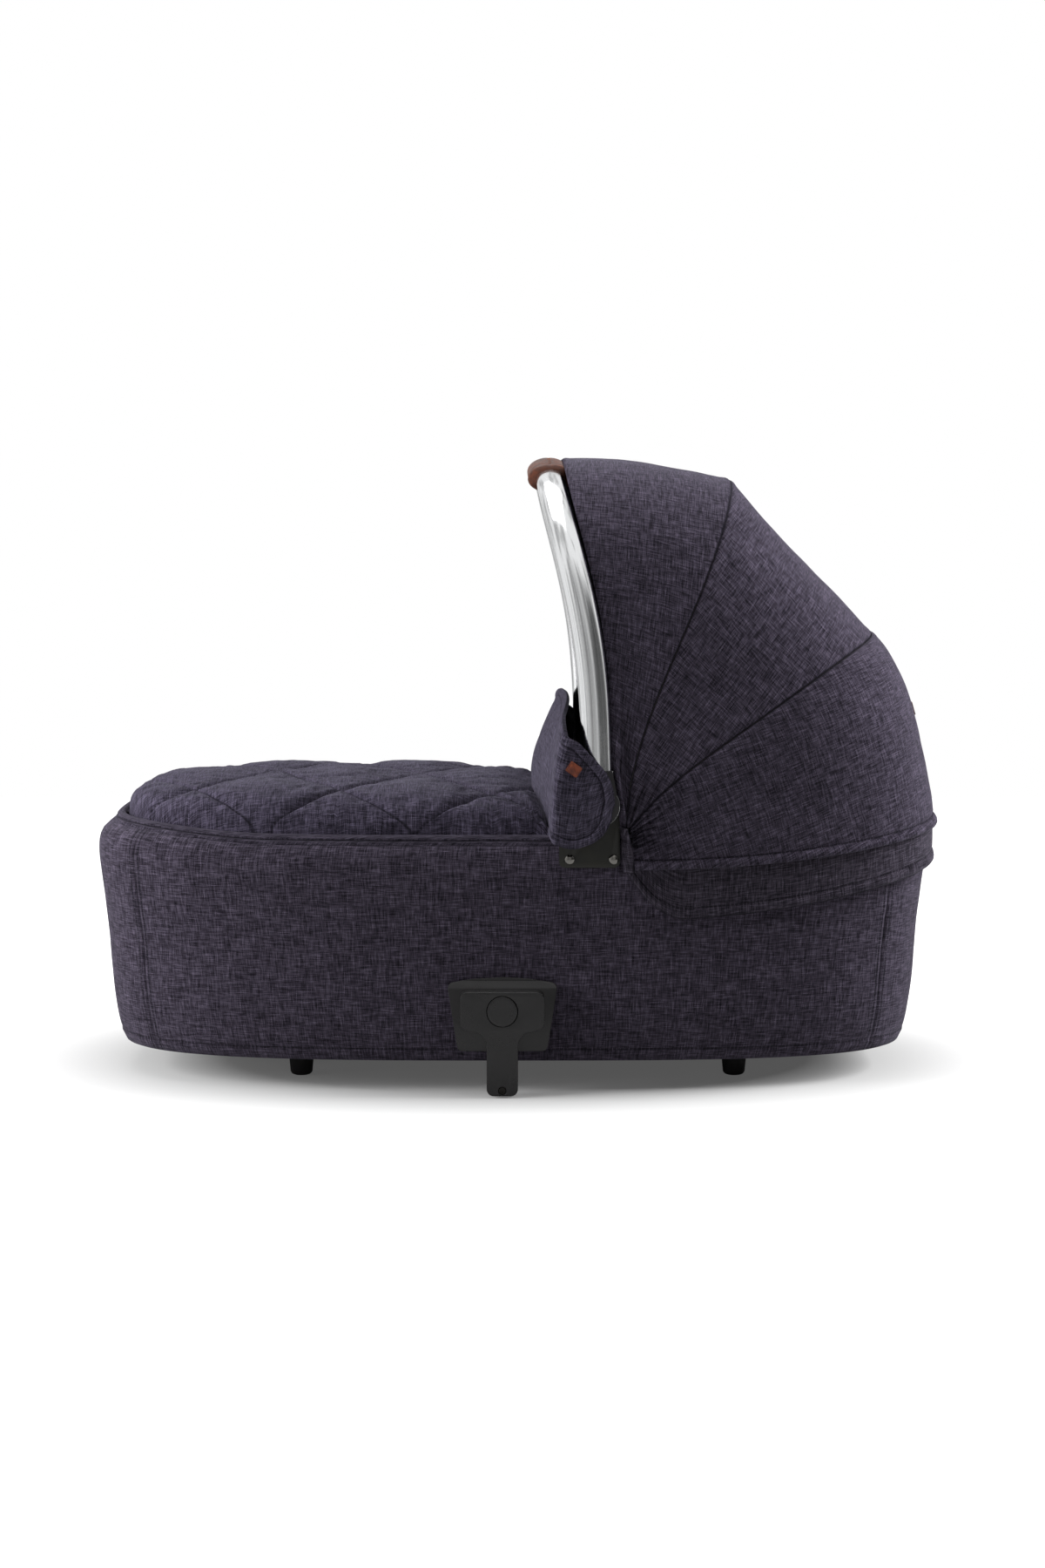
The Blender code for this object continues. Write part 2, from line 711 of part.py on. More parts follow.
def build_plates(tub_parts):
    near = -PLATE_FACE
    left, right = PLATE_CENTRE_X - PLATE_WIDTH / 2, PLATE_CENTRE_X + PLATE_WIDTH / 2
    outline = rounded([
        (left, PLATE_BOTTOM, PLATE_CORNER),
        (right, PLATE_BOTTOM, PLATE_CORNER),
        (right, PLATE_TOP, PLATE_CORNER),
        (left, PLATE_TOP, PLATE_CORNER),
    ])
    plate = prism("plate", outline, near, near - PLATE_THICKNESS, OLIVE_METAL)
    beyond = near - PLATE_THICKNESS - CUT_OVERRUN
    hole = drum("plate_pin_hole", HINGE_X, HINGE_Z, PIN_RADIUS + GAP, near + CUT_OVERRUN, beyond, STEEL)
    combine(plate, hole, "DIFFERENCE")
    rivets = []
    for name, x in (("front", FRONT_RIVET_X), ("rear", REAR_RIVET_X)):
        reach = TUB_HALF_WIDTH + CUT_OVERRUN * 2
        through = drum(f"rivet_hole_{name}", x, RIVET_Z, RIVET_RADIUS + GAP, -reach, reach, STEEL, 16)
        for piece in tub_parts + [plate]:
            combine(piece, through, "DIFFERENCE")
        face = PLATE_FACE + PLATE_THICKNESS
        inner = plan_half_width(x, wall_inset(RIVET_Z) + COVER_THICKNESS + TUB_WALL / 2)
        profile = [(0, RIVET_HEAD_HEIGHT)]
        for k in range(1, 4):
            swing = math.radians(90 * k / 3)
            profile.append((RIVET_HEAD_RADIUS * math.sin(swing), RIVET_HEAD_HEIGHT * math.cos(swing) + GAP))
        profile += [(RIVET_RADIUS, GAP), (RIVET_RADIUS, inner - face), (0, inner - face)]
        rivets.append((name, turned(f"rivet_{name}", profile, x, -face, RIVET_Z, STEEL, 14)))
    pair(baked(plate), "hinge_plate")
    for name, rivet in rivets:
        pair(rivet, f"{name}_rivet")


def build_pins():
    start = -PLATE_FACE + GAP
    end = HUB_FACE + HINGE_POCKET_FLOOR - GAP
    head = PIN_HEAD_RADIUS
    profile = [
        (0, end + start),
        (PIN_RADIUS, end + start),
        (PIN_RADIUS, 0),
        (head, 0),
        (head, -PIN_HEAD_HEIGHT),
        (0, -PIN_HEAD_HEIGHT),
    ]
    pair(turned("pin", profile, HINGE_X, start, HINGE_Z, STEEL), "hinge_pin")


# Handle

def arch_share(k):
    """Superellipse cosine and sine at a station: 0 at the hinge line, the last at the crown."""
    angle = math.pi / 2 * k / ARCH_HALF_STATIONS
    c, s = math.cos(angle), math.sin(angle)
    reach = (c**ARCH_POWER + s**ARCH_POWER) ** (-1 / ARCH_POWER)
    return reach * c, reach * s


def fitted_angle(shares, angles, share):
    return math.radians(float(numpy.polyval(numpy.polyfit(shares, angles, 3), share)))


def both_sides(half):
    """The near half of an arch, from the hinge line to the crown, with its far half added."""
    return half + [Vector((point.x, -point.y, point.z)) for point in half[-2::-1]]


def handle_point(share, cosine):
    angle = fitted_angle(HANDLE_SHARES, HANDLE_ANGLES, max(share, HANDLE_SHARES[0]))
    x = HINGE_X + HANDLE_REACH * share * math.cos(angle)
    z = HINGE_Z + HANDLE_REACH * share * math.sin(angle)
    return Vector((x, -HANDLE_HALF_WIDTH * cosine, z))


def handle_arch(first_share):
    """Points of the handle's centre line from the given share of its reach, near side to far side."""
    half = [handle_point(first_share, 1.0)]
    steps = HANDLE_HALF_STATIONS
    for k in range(1, steps + 1):
        cosine, share = arch_share(k * ARCH_HALF_STATIONS / steps)
        if share > first_share * HANDLE_FIRST_STEP_SHARE:
            half.append(handle_point(share, max(cosine, 0.0)))
    return both_sides(half)


def build_handle(body):
    stretch = TUBE_WIDTH / TUBE_DEPTH
    start_share = (HUB_NECK + GAP * 1.5) / HANDLE_REACH
    path = handle_arch(start_share)
    bar = tube("handle_tube", path, TUBE_DEPTH / 2, ALUMINIUM, 3, stretch)
    carry(bar, body)

    held = [point for point in path if abs(point.y) <= GRIP_HALF_LENGTH]
    sleeve = tube("handle_grip", held, TUBE_DEPTH / 2 + GRIP_THICKNESS, LEATHER, 3, stretch)
    bore = tube("grip_bore", path, TUBE_DEPTH / 2 + GAP, LEATHER, 3, stretch)
    carry(baked(combine(sleeve, bore, "DIFFERENCE")), body)

    near = -HUB_FACE
    outer = near - HUB_THICKNESS
    outline = []
    half = TUBE_WIDTH / 2
    for k in range(25):
        angle = math.radians(150 + 240 * k / 24)
        outline.append((HINGE_X + HUB_RADIUS * math.cos(angle), HINGE_Z + HUB_RADIUS * math.sin(angle)))
    neck_angle = fitted_angle(HANDLE_SHARES, HANDLE_ANGLES, HANDLE_SHARES[0])
    lean = HUB_NECK * math.cos(neck_angle)
    neck_top = HINGE_Z + HUB_NECK * math.sin(neck_angle)
    tilt = -half * math.cos(neck_angle) / stretch**2
    outline += [(HINGE_X + lean + half, neck_top + tilt), (HINGE_X + lean - half, neck_top - tilt)]
    hub = prism("hub", outline, near, outer, BLACK_PLASTIC)
    beyond = outer - CUT_OVERRUN
    bore = drum("hub_bore", HINGE_X, HINGE_Z, PIN_RADIUS + GAP, near + CUT_OVERRUN, beyond, STEEL)
    combine(hub, bore, "DIFFERENCE")
    floor = near - HINGE_POCKET_FLOOR
    pocket = drum("hub_pocket", HINGE_X, HINGE_Z, HINGE_BUTTON_RADIUS + GAP, floor, beyond, STEEL)
    combine(hub, pocket, "DIFFERENCE")
    for piece in pair(baked(hub), "handle_hub"):
        carry(piece, body)

    face = outer - HINGE_BUTTON_PROUD
    back = face + HINGE_BUTTON_HEIGHT
    dome = HINGE_BUTTON_RADIUS * 0.12
    profile = [
        (0, HINGE_BUTTON_HEIGHT),
        (HINGE_BUTTON_RADIUS * 0.7, HINGE_BUTTON_HEIGHT - dome / 4),
        (HINGE_BUTTON_RADIUS * 0.92, HINGE_BUTTON_HEIGHT - dome),
        (HINGE_BUTTON_RADIUS, HINGE_BUTTON_HEIGHT - 2 * dome),
        (HINGE_BUTTON_RADIUS, 0),
        (0, 0),
    ]
    for piece in pair(turned("cap", profile, HINGE_X, back, HINGE_Z, CHROME), "hinge_button"):
        carry(piece, body)
    spring = coil("hub_spring", HINGE_X, HINGE_Z, PIN_HEAD_RADIUS, floor - GAP, back + GAP, 2, STEEL)
    for piece in pair(spring, "hinge_spring"):
        carry(piece, body)


# Hood bows and cloth

def seam(reach, half_width, shares, angles, tail):
    """A hood seam about the gather point: its tail, stations up to the crown, and the same down again."""
    half = [Vector((GATHER_X + tail, -half_width, GATHER_Z + TAIL_RISE))]
    for k in range(1, ARCH_HALF_STATIONS + 1):
        cosine, share = arch_share(k)
        angle = fitted_angle(shares, angles, share)
        x = GATHER_X + reach * share * math.cos(angle)
        z = GATHER_Z + reach * share * math.sin(angle)
        half.append(Vector((x, -half_width * max(cosine, 0.0), z)))
    return both_sides(half)


def front_edge():
    """The hood's front edge, which runs up behind the handle and over its grip."""
    half = [Vector((GATHER_X - TAIL_STEP, -CLOTH_HALF_WIDTH, GATHER_Z + TAIL_RISE))]
    for k in range(1, ARCH_HALF_STATIONS + 1):
        cosine, share = arch_share(k)
        angle = fitted_angle(HANDLE_SHARES, HANDLE_ANGLES, share)
        reach = HANDLE_REACH * share + FRONT_EDGE_RISE * share
        angle -= FRONT_EDGE_OFFSET / reach
        x = HINGE_X + reach * math.cos(angle)
        z = HINGE_Z + reach * math.sin(angle)
        half.append(Vector((x, -CLOTH_HALF_WIDTH * max(cosine, 0.0), z)))
    return both_sides(half)


def hem_edge(low, back_rise, half_width, end, first_x):
    """A lower cloth edge round the head end: nearly level along the side, rising to the back."""
    half = []
    for k in range(ARCH_HALF_STATIONS + 1):
        share = arch_share(k)[1]
        x = first_x + (end - first_x) * share
        if k == ARCH_HALF_STATIONS:
            x = end
        width_share = (1 - min(1.0, x / end) ** PLAN_POWER) ** (1 / PLAN_POWER)
        half.append(Vector((x, -half_width * width_share, low + back_rise * share**2)))
    return both_sides(half)


def bulged(a, b, along, bulge, skew):
    """A point from a to b, pushed out from the gather line, fullest nearer a where the skew is under 1."""
    outward = ((a + b) / 2 - Vector((GATHER_X, 0, GATHER_Z))).normalized()
    return a.lerp(b, along) + outward * bulge * math.sin(math.pi * along**skew)


def panel(name, first, last, bulge, skew, surface, rows=5):
    """A cloth panel between two edges of as many points, kept clear of its neighbours at both."""
    grid = []
    crown = len(first) // 2
    for i in range(rows + 1):
        line = []
        for k, (a, b) in enumerate(zip(first, last)):
            margin = SEAM_GAP / 2 / (b - a).length
            along = margin + (1 - 2 * margin) * i / rows
            share = 1 - abs(k - crown) / crown
            line.append(bulged(a, b, along, bulge * share, skew))
        grid.append(line)
    made = add(name, surface_mesh(name, grid), surface)
    return baked(thicken(made, CLOTH_THICKNESS))


def bow(name, seam_points, eyelet_face, parent):
    """A strip that follows a seam on the inside, with a leg down to an eyelet on each hinge pin."""
    hinge = Vector((HINGE_X, -(eyelet_face + EYELET_THICKNESS / 2), HINGE_Z))
    gather = Vector((GATHER_X, 0, GATHER_Z))
    knee = Vector((seam_points[1].x, hinge.y, seam_points[1].z))
    half = []
    for k in range(2, ARCH_HALF_STATIONS + 1):
        point = seam_points[k]
        inward = Vector((point.x - gather.x, 0, point.z - gather.z)).normalized()
        cosine, share = arch_share(k)
        normal = Vector((0, -(max(cosine, 0.0) ** (ARCH_POWER - 1)), 0)) + inward * share ** (ARCH_POWER - 1)
        half.append(point - normal.normalized() * BOW_INSET)
    path = both_sides([hinge, hinge.lerp(knee, 0.5), knee] + half)
    rows = [[], []]
    for point in path:
        near_hinge = math.hypot(point.x - HINGE_X, point.z - HINGE_Z) < (knee - hinge).length + GAP
        centre = hinge if near_hinge else gather
        reach = Vector((point.x - centre.x, 0, point.z - centre.z))
        if reach.length < GAP:
            reach = knee - hinge
        side = Vector((-reach.z, 0, reach.x)).normalized() * BOW_WIDTH / 2
        rows[0].append(point - side)
        rows[1].append(point + side)
    strip = baked(thicken(add(name, surface_mesh(name, rows), STEEL), BOW_THICKNESS))
    for way in (-1, 1):
        inner, outer = way * eyelet_face, way * (eyelet_face + EYELET_THICKNESS)
        eyelet = drum(f"{name}_eyelet", HINGE_X, HINGE_Z, EYELET_RADIUS, inner, outer, STEEL, 24)
        combine(strip, eyelet, "UNION")
    reach = eyelet_face + CUT_OVERRUN * 2
    hole = drum(f"{name}_hole", HINGE_X, HINGE_Z, PIN_RADIUS + GAP, -reach, reach, STEEL, 24)
    carry(baked(combine(strip, hole, "DIFFERENCE")), parent)


def build_hood(rear_body, mid_body, handle_body):
    first = front_edge()
    mid = seam(MID_REACH, CLOTH_HALF_WIDTH, MID_SHARES, MID_ANGLES, 0.0)
    rear = seam(REAR_REACH, CLOTH_HALF_WIDTH, REAR_SHARES, REAR_ANGLES, TAIL_STEP)
    hem = hem_edge(HEM_LOW, HEM_BACK_RISE, HEM_HALF_WIDTH, HEM_END, GATHER_X + 2 * TAIL_STEP)
    bow("rear_bow", rear, REAR_BOW_FACE, rear_body)
    bow("mid_bow", mid, MID_BOW_FACE, mid_body)
    carry(panel("hood_front_panel", first, mid, FRONT_BULGE, 0.75, NAVY_CLOTH), handle_body)
    carry(panel("hood_middle_panel", mid, rear, MID_BULGE, 1.0, NAVY_CLOTH), mid_body)
    panel("hood_back_panel", rear, hem, BACK_BULGE, 0.5, NAVY_CLOTH, BACK_ROWS)

    crown = ARCH_HALF_STATIONS
    seat = bulged(rear[crown], hem[crown], BACK_LABEL_ROW / BACK_ROWS, BACK_BULGE, 0.5)
    below = bulged(rear[crown], hem[crown], (BACK_LABEL_ROW + 1) / BACK_ROWS, BACK_BULGE, 0.5)
    above = bulged(rear[crown], hem[crown], (BACK_LABEL_ROW - 1) / BACK_ROWS, BACK_BULGE, 0.5)
    down = (below - above).normalized()
    low = CLOTH_THICKNESS / 2 + GAP * 2
    label = block(
        "back_label",
        (low, -BACK_LABEL_WIDTH / 2, -BACK_LABEL_HEIGHT / 2),
        (low + BACK_LABEL_THICKNESS, BACK_LABEL_WIDTH / 2, BACK_LABEL_HEIGHT / 2),
        LEATHER,
    )
    label.rotation_euler.y = -math.atan2(down.x, -down.z)
    label.location = seat


def build_skirt():
    rows = []
    steps = 4
    low = hem_edge(SKIRT_LOW, SKIRT_BACK_RISE, 0, SKIRT_END, SKIRT_FRONT_X)
    face = TUB_HALF_WIDTH + GAP + SKIRT_THICKNESS / 2
    crown = len(low) // 2
    for i in range(steps + 1):
        row = []
        for k, edge in enumerate(low):
            x = edge.x
            share = arch_share(min(k, len(low) - 1 - k))[1]
            flare = SKIRT_FLARE * max(0.0, 1 - share * 6)
            width_share = (1 - min(1.0, x / SKIRT_END) ** PLAN_POWER) ** (1 / PLAN_POWER)
            near_rise = (SKIRT_TOP - edge.z) * 0.75 * max(0.0, 1 - share * 5) ** 2
            bottom = edge.z + near_rise
            z = bottom + (SKIRT_TOP - bottom) * i / steps
            way = -1 if k <= crown else 1
            row.append(Vector((x, way * (face + flare) * width_share, z)))
        rows.append(row)
    skirt = add("hood_skirt", surface_mesh("hood_skirt", rows), NAVY_CLOTH)
    baked(thicken(skirt, SKIRT_THICKNESS))


# Chassis adapters

def build_adapters():
    wall = plan_half_width(ADAPTER_X, 0)
    half_top, half_bottom = ADAPTER_BASE_TOP_WIDTH / 2, ADAPTER_BASE_BOTTOM_WIDTH / 2
    arch = ADAPTER_BASE_CORNER
    outline = rounded([
        (ADAPTER_X - half_bottom, ADAPTER_BASE_BOTTOM, ADAPTER_BASE_CORNER),
        (ADAPTER_X + half_bottom, ADAPTER_BASE_BOTTOM, ADAPTER_BASE_CORNER),
        (ADAPTER_X + half_top, ADAPTER_BASE_TOP, ADAPTER_BASE_CORNER),
        (ADAPTER_X + half_top / 2, ADAPTER_BASE_TOP + arch * 0.75, 0),
        (ADAPTER_X, ADAPTER_BASE_TOP + arch, 0),
        (ADAPTER_X - half_top / 2, ADAPTER_BASE_TOP + arch * 0.75, 0),
        (ADAPTER_X - half_top, ADAPTER_BASE_TOP, ADAPTER_BASE_CORNER),
    ])
    base = prism("base", outline, COVER_TAPER - wall, -ADAPTER_BASE_FACE, BLACK_PLASTIC)
    slope_top = wall_inset(ADAPTER_BASE_TOP)
    slope = (wall_inset(ADAPTER_BASE_BOTTOM) - slope_top) / (ADAPTER_BASE_TOP - ADAPTER_BASE_BOTTOM)
    for vert in base.data.vertices:
        if vert.co.y > -ADAPTER_BASE_FACE + GAP:
            drop = slope_top + slope * (ADAPTER_BASE_TOP - vert.co.z)
            vert.co.y = -(wall - drop + ADAPTER_BASE_EASE)
        else:
            vert.co.y += ADAPTER_BASE_BEVEL_SHARE * max(0.0, vert.co.z - HOUSING_TOP)
    pair(base, "adapter_base")

    back = -ADAPTER_BASE_FACE - GAP
    front = back - ADAPTER_THICKNESS
    half = HOUSING_WIDTH / 2
    shoulder = TONGUE_SHOULDER_WIDTH / 2
    tongue = TONGUE_WIDTH / 2
    outline = rounded([
        (ADAPTER_X - tongue, TONGUE_BOTTOM, TONGUE_CORNER),
        (ADAPTER_X + tongue, TONGUE_BOTTOM, TONGUE_CORNER),
        (ADAPTER_X + tongue, TONGUE_SHOULDER, TONGUE_CORNER),
        (ADAPTER_X + shoulder, HOUSING_BOTTOM - (TONGUE_CORNER - TONGUE_RELIEF), TONGUE_RELIEF),
        (ADAPTER_X + half, HOUSING_BOTTOM, HOUSING_CORNER),
        (ADAPTER_X + half, HOUSING_TOP, HOUSING_CORNER),
        (ADAPTER_X - half, HOUSING_TOP, HOUSING_CORNER),
        (ADAPTER_X - half, HOUSING_BOTTOM, HOUSING_CORNER),
        (ADAPTER_X - shoulder, HOUSING_BOTTOM - (TONGUE_CORNER - TONGUE_RELIEF), TONGUE_RELIEF),
        (ADAPTER_X - tongue, TONGUE_SHOULDER, TONGUE_CORNER),
    ])
    body = prism("body", outline, back, front, BLACK_PLASTIC)
    face = front - ADAPTER_BUTTON_PROUD
    inner = face + ADAPTER_BUTTON_HEIGHT
    floor = inner + ADAPTER_BUTTON_TRAVEL + GAP
    beyond = front - CUT_OVERRUN
    well = drum("button_well", ADAPTER_X, ADAPTER_BUTTON_Z, ADAPTER_BUTTON_RADIUS + GAP, beyond, floor, STEEL)
    combine(body, well, "DIFFERENCE")
    slot = block(
        "latch_slot",
        (ADAPTER_X - LATCH_WIDTH / 2 - GAP, back - LATCH_THICKNESS - GAP * 2, LATCH_BOTTOM - GAP),
        (ADAPTER_X + LATCH_WIDTH / 2 + GAP, back + CUT_OVERRUN, LATCH_TOP + LATCH_TRAVEL + GAP * 2),
        STEEL,
    )
    combine(body, slot, "DIFFERENCE")
    hole_radius = ADAPTER_SCREW_RADIUS + GAP
    hole_floor = front + ADAPTER_SCREW_DEPTH
    hole = drum("screw_hole", ADAPTER_X, ADAPTER_SCREW_Z, hole_radius, beyond, hole_floor, STEEL, 20)
    combine(body, hole, "DIFFERENCE")
    pair(baked(body), "adapter_body")

    button_profile = [
        (0, ADAPTER_BUTTON_HEIGHT),
        (ADAPTER_BUTTON_RADIUS * 0.93, ADAPTER_BUTTON_HEIGHT),
        (ADAPTER_BUTTON_RADIUS, ADAPTER_BUTTON_HEIGHT * 0.86),
        (ADAPTER_BUTTON_RADIUS, 0),
        (0, 0),
    ]
    button = turned("button", button_profile, ADAPTER_X, inner, ADAPTER_BUTTON_Z, BLACK_PLASTIC)
    pair(button, "adapter_button")
    spring_radius = ADAPTER_BUTTON_RADIUS / 2
    low, high = floor - GAP, inner + GAP
    spring = coil("button_spring", ADAPTER_X, ADAPTER_BUTTON_Z, spring_radius, low, high, 2, STEEL)
    pair(spring, "adapter_spring")

    latch = block(
        "latch_bar",
        (ADAPTER_X - LATCH_WIDTH / 2, back - LATCH_THICKNESS - GAP, LATCH_BOTTOM),
        (ADAPTER_X + LATCH_WIDTH / 2, back - GAP, LATCH_TOP),
        STEEL,
    )
    nose = block(
        "latch_nose",
        (ADAPTER_X - LATCH_WIDTH / 2 + GAP, back - LATCH_THICKNESS / 2, LATCH_BOTTOM + GAP),
        (ADAPTER_X + LATCH_WIDTH / 2 - GAP, back + LATCH_NOSE, LATCH_BOTTOM + LATCH_WIDTH / 2),
        STEEL,
    )
    pair(baked(combine(latch, nose, "UNION")), "adapter_latch")

    head = ADAPTER_SCREW_DEPTH * 0.25
    profile = [
        (0, head),
        (ADAPTER_SCREW_RADIUS * 0.8, head),
        (ADAPTER_SCREW_RADIUS, head * 0.5),
        (ADAPTER_SCREW_RADIUS, -ADAPTER_SCREW_DEPTH + head + GAP),
        (0, -ADAPTER_SCREW_DEPTH + head + GAP),
    ]
    pair(turned("screw", profile, ADAPTER_X, front + head, ADAPTER_SCREW_Z, STEEL, 20), "adapter_screw")


tub_shell, outer_cover = build_tub()
build_plates([tub_shell, outer_cover])
build_pins()
build_feet()
build_mattress()
build_apron()
build_flap()
rear_pivot = pivot("rear_bow_pivot")
mid_pivot = pivot("mid_bow_pivot", rear_pivot)
handle_pivot = pivot("handle_pivot", mid_pivot)
build_handle(handle_pivot)
build_hood(rear_pivot, mid_pivot, handle_pivot)
build_skirt()
build_adapters()
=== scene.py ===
"""A carrycot with its hood up, seen square from its near side."""

import json
import math

import bmesh
import bpy
import numpy
from mathutils import Matrix, Vector, noise

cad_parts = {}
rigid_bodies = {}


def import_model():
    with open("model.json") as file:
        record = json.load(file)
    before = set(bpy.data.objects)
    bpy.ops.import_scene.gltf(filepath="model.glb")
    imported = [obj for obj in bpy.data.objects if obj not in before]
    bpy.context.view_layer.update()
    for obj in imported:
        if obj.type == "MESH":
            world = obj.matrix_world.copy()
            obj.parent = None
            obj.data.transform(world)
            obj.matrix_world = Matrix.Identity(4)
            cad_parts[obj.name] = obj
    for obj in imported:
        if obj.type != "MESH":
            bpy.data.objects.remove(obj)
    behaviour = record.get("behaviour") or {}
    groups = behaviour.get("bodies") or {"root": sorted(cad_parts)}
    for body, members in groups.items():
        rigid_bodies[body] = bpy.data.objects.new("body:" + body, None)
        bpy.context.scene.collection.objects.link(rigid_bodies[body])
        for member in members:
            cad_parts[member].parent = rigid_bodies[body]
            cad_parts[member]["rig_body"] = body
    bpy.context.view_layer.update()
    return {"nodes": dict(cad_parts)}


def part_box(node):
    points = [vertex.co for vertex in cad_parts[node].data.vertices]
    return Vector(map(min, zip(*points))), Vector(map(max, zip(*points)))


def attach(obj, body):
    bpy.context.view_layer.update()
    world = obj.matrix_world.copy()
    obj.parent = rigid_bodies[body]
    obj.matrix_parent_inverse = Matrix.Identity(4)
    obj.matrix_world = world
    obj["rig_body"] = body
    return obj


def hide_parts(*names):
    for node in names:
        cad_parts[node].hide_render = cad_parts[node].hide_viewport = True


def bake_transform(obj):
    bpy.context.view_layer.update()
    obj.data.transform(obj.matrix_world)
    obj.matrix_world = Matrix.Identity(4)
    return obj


for leftover in list(bpy.data.objects):
    bpy.data.objects.remove(leftover)
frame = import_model()

# The view: the carrycot's near side, from three metres away and a little above it.

eye_distance, eye_rise, eye_lens = 3.0, math.radians(6.0), 65.2
eye_target = Vector((0.005, 0, 0.290))
bpy.ops.object.camera_add(
    location=eye_target + eye_distance * Vector((0, -math.cos(eye_rise), math.sin(eye_rise))),
    rotation=(math.radians(90) - eye_rise, 0, 0),
)
eye = bpy.context.object
eye.name = "eye"
eye.data.sensor_width = 36
eye.data.lens = eye_lens
bpy.context.scene.camera = eye
bpy.context.scene.view_settings.view_transform = "Standard"

# The studio: white paper that glows white to the camera away from the carrycot, a large soft lamp overhead
# and a smaller one off each end. The paper's glow fades in towards the carrycot, a painted shade that
# deepens and shapes the lamps' real shadow round it. The room is white to the camera, and dim and streaky
# to whatever mirrors it, as a studio's dark corners are.

paper_size = 5
glow_reach_x, glow_reach_y, glow_start, glow_end, shadow_glow = 0.56, 0.36, 0.55, 1.15, 0.085
paper_mirrored, room_mirrored, room_light = 0.12, 1.15, 0.048


def linear(code):
    """An sRGB hex colour as linear values."""
    parts = [int(code[i : i + 2], 16) / 255 for i in (1, 3, 5)]
    return (*[p / 12.92 if p <= 0.04045 else ((p + 0.055) / 1.055) ** 2.4 for p in parts], 1.0)


def feed(tree, node, inputs):
    """Sets a node's inputs: each is a value, an output, or a node whose first output is meant."""
    for name, value in inputs.items():
        if isinstance(value, bpy.types.Node):
            value = value.outputs[0]
        if isinstance(value, bpy.types.NodeSocket):
            tree.links.new(value, node.inputs[name])
        else:
            node.inputs[name].default_value = value


def add_node(tree, kind, inputs=None, **settings):
    """Adds a node with its own settings and its inputs."""
    made = tree.nodes.new("ShaderNode" + kind)
    for name, value in settings.items():
        setattr(made, name, value)
    feed(tree, made, inputs or {})
    return made


bpy.ops.mesh.primitive_plane_add(size=paper_size)
floor = bpy.context.object
floor.name = "studio_floor"
paper = bpy.data.materials.new("white_studio_paper")
paper.use_nodes = True
tree = paper.node_tree
tree.nodes.clear()
path = add_node(tree, "LightPath").outputs
mirrored = add_node(tree, "Math", {0: path["Is Glossy Ray"], 1: paper_mirrored}, operation="MULTIPLY")
seen = add_node(tree, "Math", {0: path["Is Camera Ray"], 1: mirrored}, operation="MAXIMUM")
spot = {0: add_node(tree, "TexCoord").outputs["Object"], 1: (1 / glow_reach_x, 1 / glow_reach_y, 0)}
spot = add_node(tree, "VectorMath", spot, operation="MULTIPLY")
spread = add_node(tree, "VectorMath", {0: spot}, operation="LENGTH").outputs["Value"]
# Painted shade: the glow falls to shadow_glow close to the carrycot, darkening the paper round it on top of
# its real shadow.
limits = {"From Min": glow_start, "From Max": glow_end, "To Min": shadow_glow}
glow = add_node(tree, "MapRange", {"Value": spread, **limits})
glow = add_node(tree, "Math", {0: glow, 1: seen}, operation="MULTIPLY")
matt = add_node(tree, "BsdfDiffuse", {"Color": linear("#a9a9a9")})
shine = add_node(tree, "Emission", {"Color": (1, 1, 1, 1), "Strength": glow})
add_node(tree, "OutputMaterial", {"Surface": add_node(tree, "AddShader", {0: matt, 1: shine})})
floor.data.materials.append(paper)

room = bpy.data.worlds.new("studio_room")
bpy.context.scene.world = room
room.use_nodes = True
tree = room.node_tree
tree.nodes.clear()
path = add_node(tree, "LightPath").outputs
heading = add_node(tree, "TexCoord").outputs["Generated"]
mirrored = add_node(tree, "Math", {0: path["Is Glossy Ray"], 1: room_mirrored}, operation="MULTIPLY")
for way, first, last, least in (((0.77, -0.64, 0), 0.74, 0.94, 0.08), ((0, -1, 0), 0.55, 0.95, 0.50)):
    toward = add_node(tree, "VectorMath", {0: heading, 1: way}, operation="DOT_PRODUCT").outputs["Value"]
    limits = {"From Min": first, "From Max": last, "To Min": 1.0, "To Max": least}
    dim = add_node(tree, "MapRange", {"Value": toward, **limits}, interpolation_type="SMOOTHSTEP")
    mirrored = add_node(tree, "Math", {0: mirrored, 1: dim}, operation="MULTIPLY")
strips = add_node(tree, "Mapping", {"Vector": heading, "Scale": (4.5, 4.5, 0.5)})
strips = add_node(tree, "TexNoise", {"Vector": strips, "Scale": 1.0, "Detail": 2.0})
strips = add_node(tree, "MapRange", {"Value": strips, "From Min": 0.42, "From Max": 0.56, "To Min": 0.40})
mirrored = add_node(tree, "Math", {0: mirrored, 1: strips}, operation="MULTIPLY")
seen = add_node(tree, "Math", {0: path["Is Camera Ray"], 1: mirrored}, operation="MAXIMUM")
strength = add_node(tree, "MapRange", {"Value": seen, "To Min": room_light, "To Max": 1.0})
white = add_node(tree, "Background", {"Color": (1, 1, 1, 1), "Strength": strength})
add_node(tree, "OutputWorld", {"Surface": white})

for name, place, aim, size, watts in (
    ("top", (-0.4, 0.1, 2.8), (0, 0, 0.25), 2.2, 43),
    ("end_left", (-2.5, -0.6, 1.0), (-0.2, 0, 0.25), 1.3, 88),
    ("end_right", (2.4, 0.1, 1.5), (0.2, 0, 0.35), 1.2, 106),
):
    bpy.ops.object.light_add(type="AREA", location=place)
    lamp = bpy.context.object
    lamp.name = "lamp_" + name
    lamp.data.size = size
    lamp.data.energy = watts
    lamp.visible_glossy = name == "top"
    lamp.rotation_euler = (Vector(aim) - Vector(place)).to_track_quat("-Z", "Y").to_euler()

# The tub's cover: one woven melange cloth pulled tight over the moulded tub, cut in a long side panel and a
# panel at each end, joined by upright seams, with a turned hem under the floor and a soft rolled top edge.

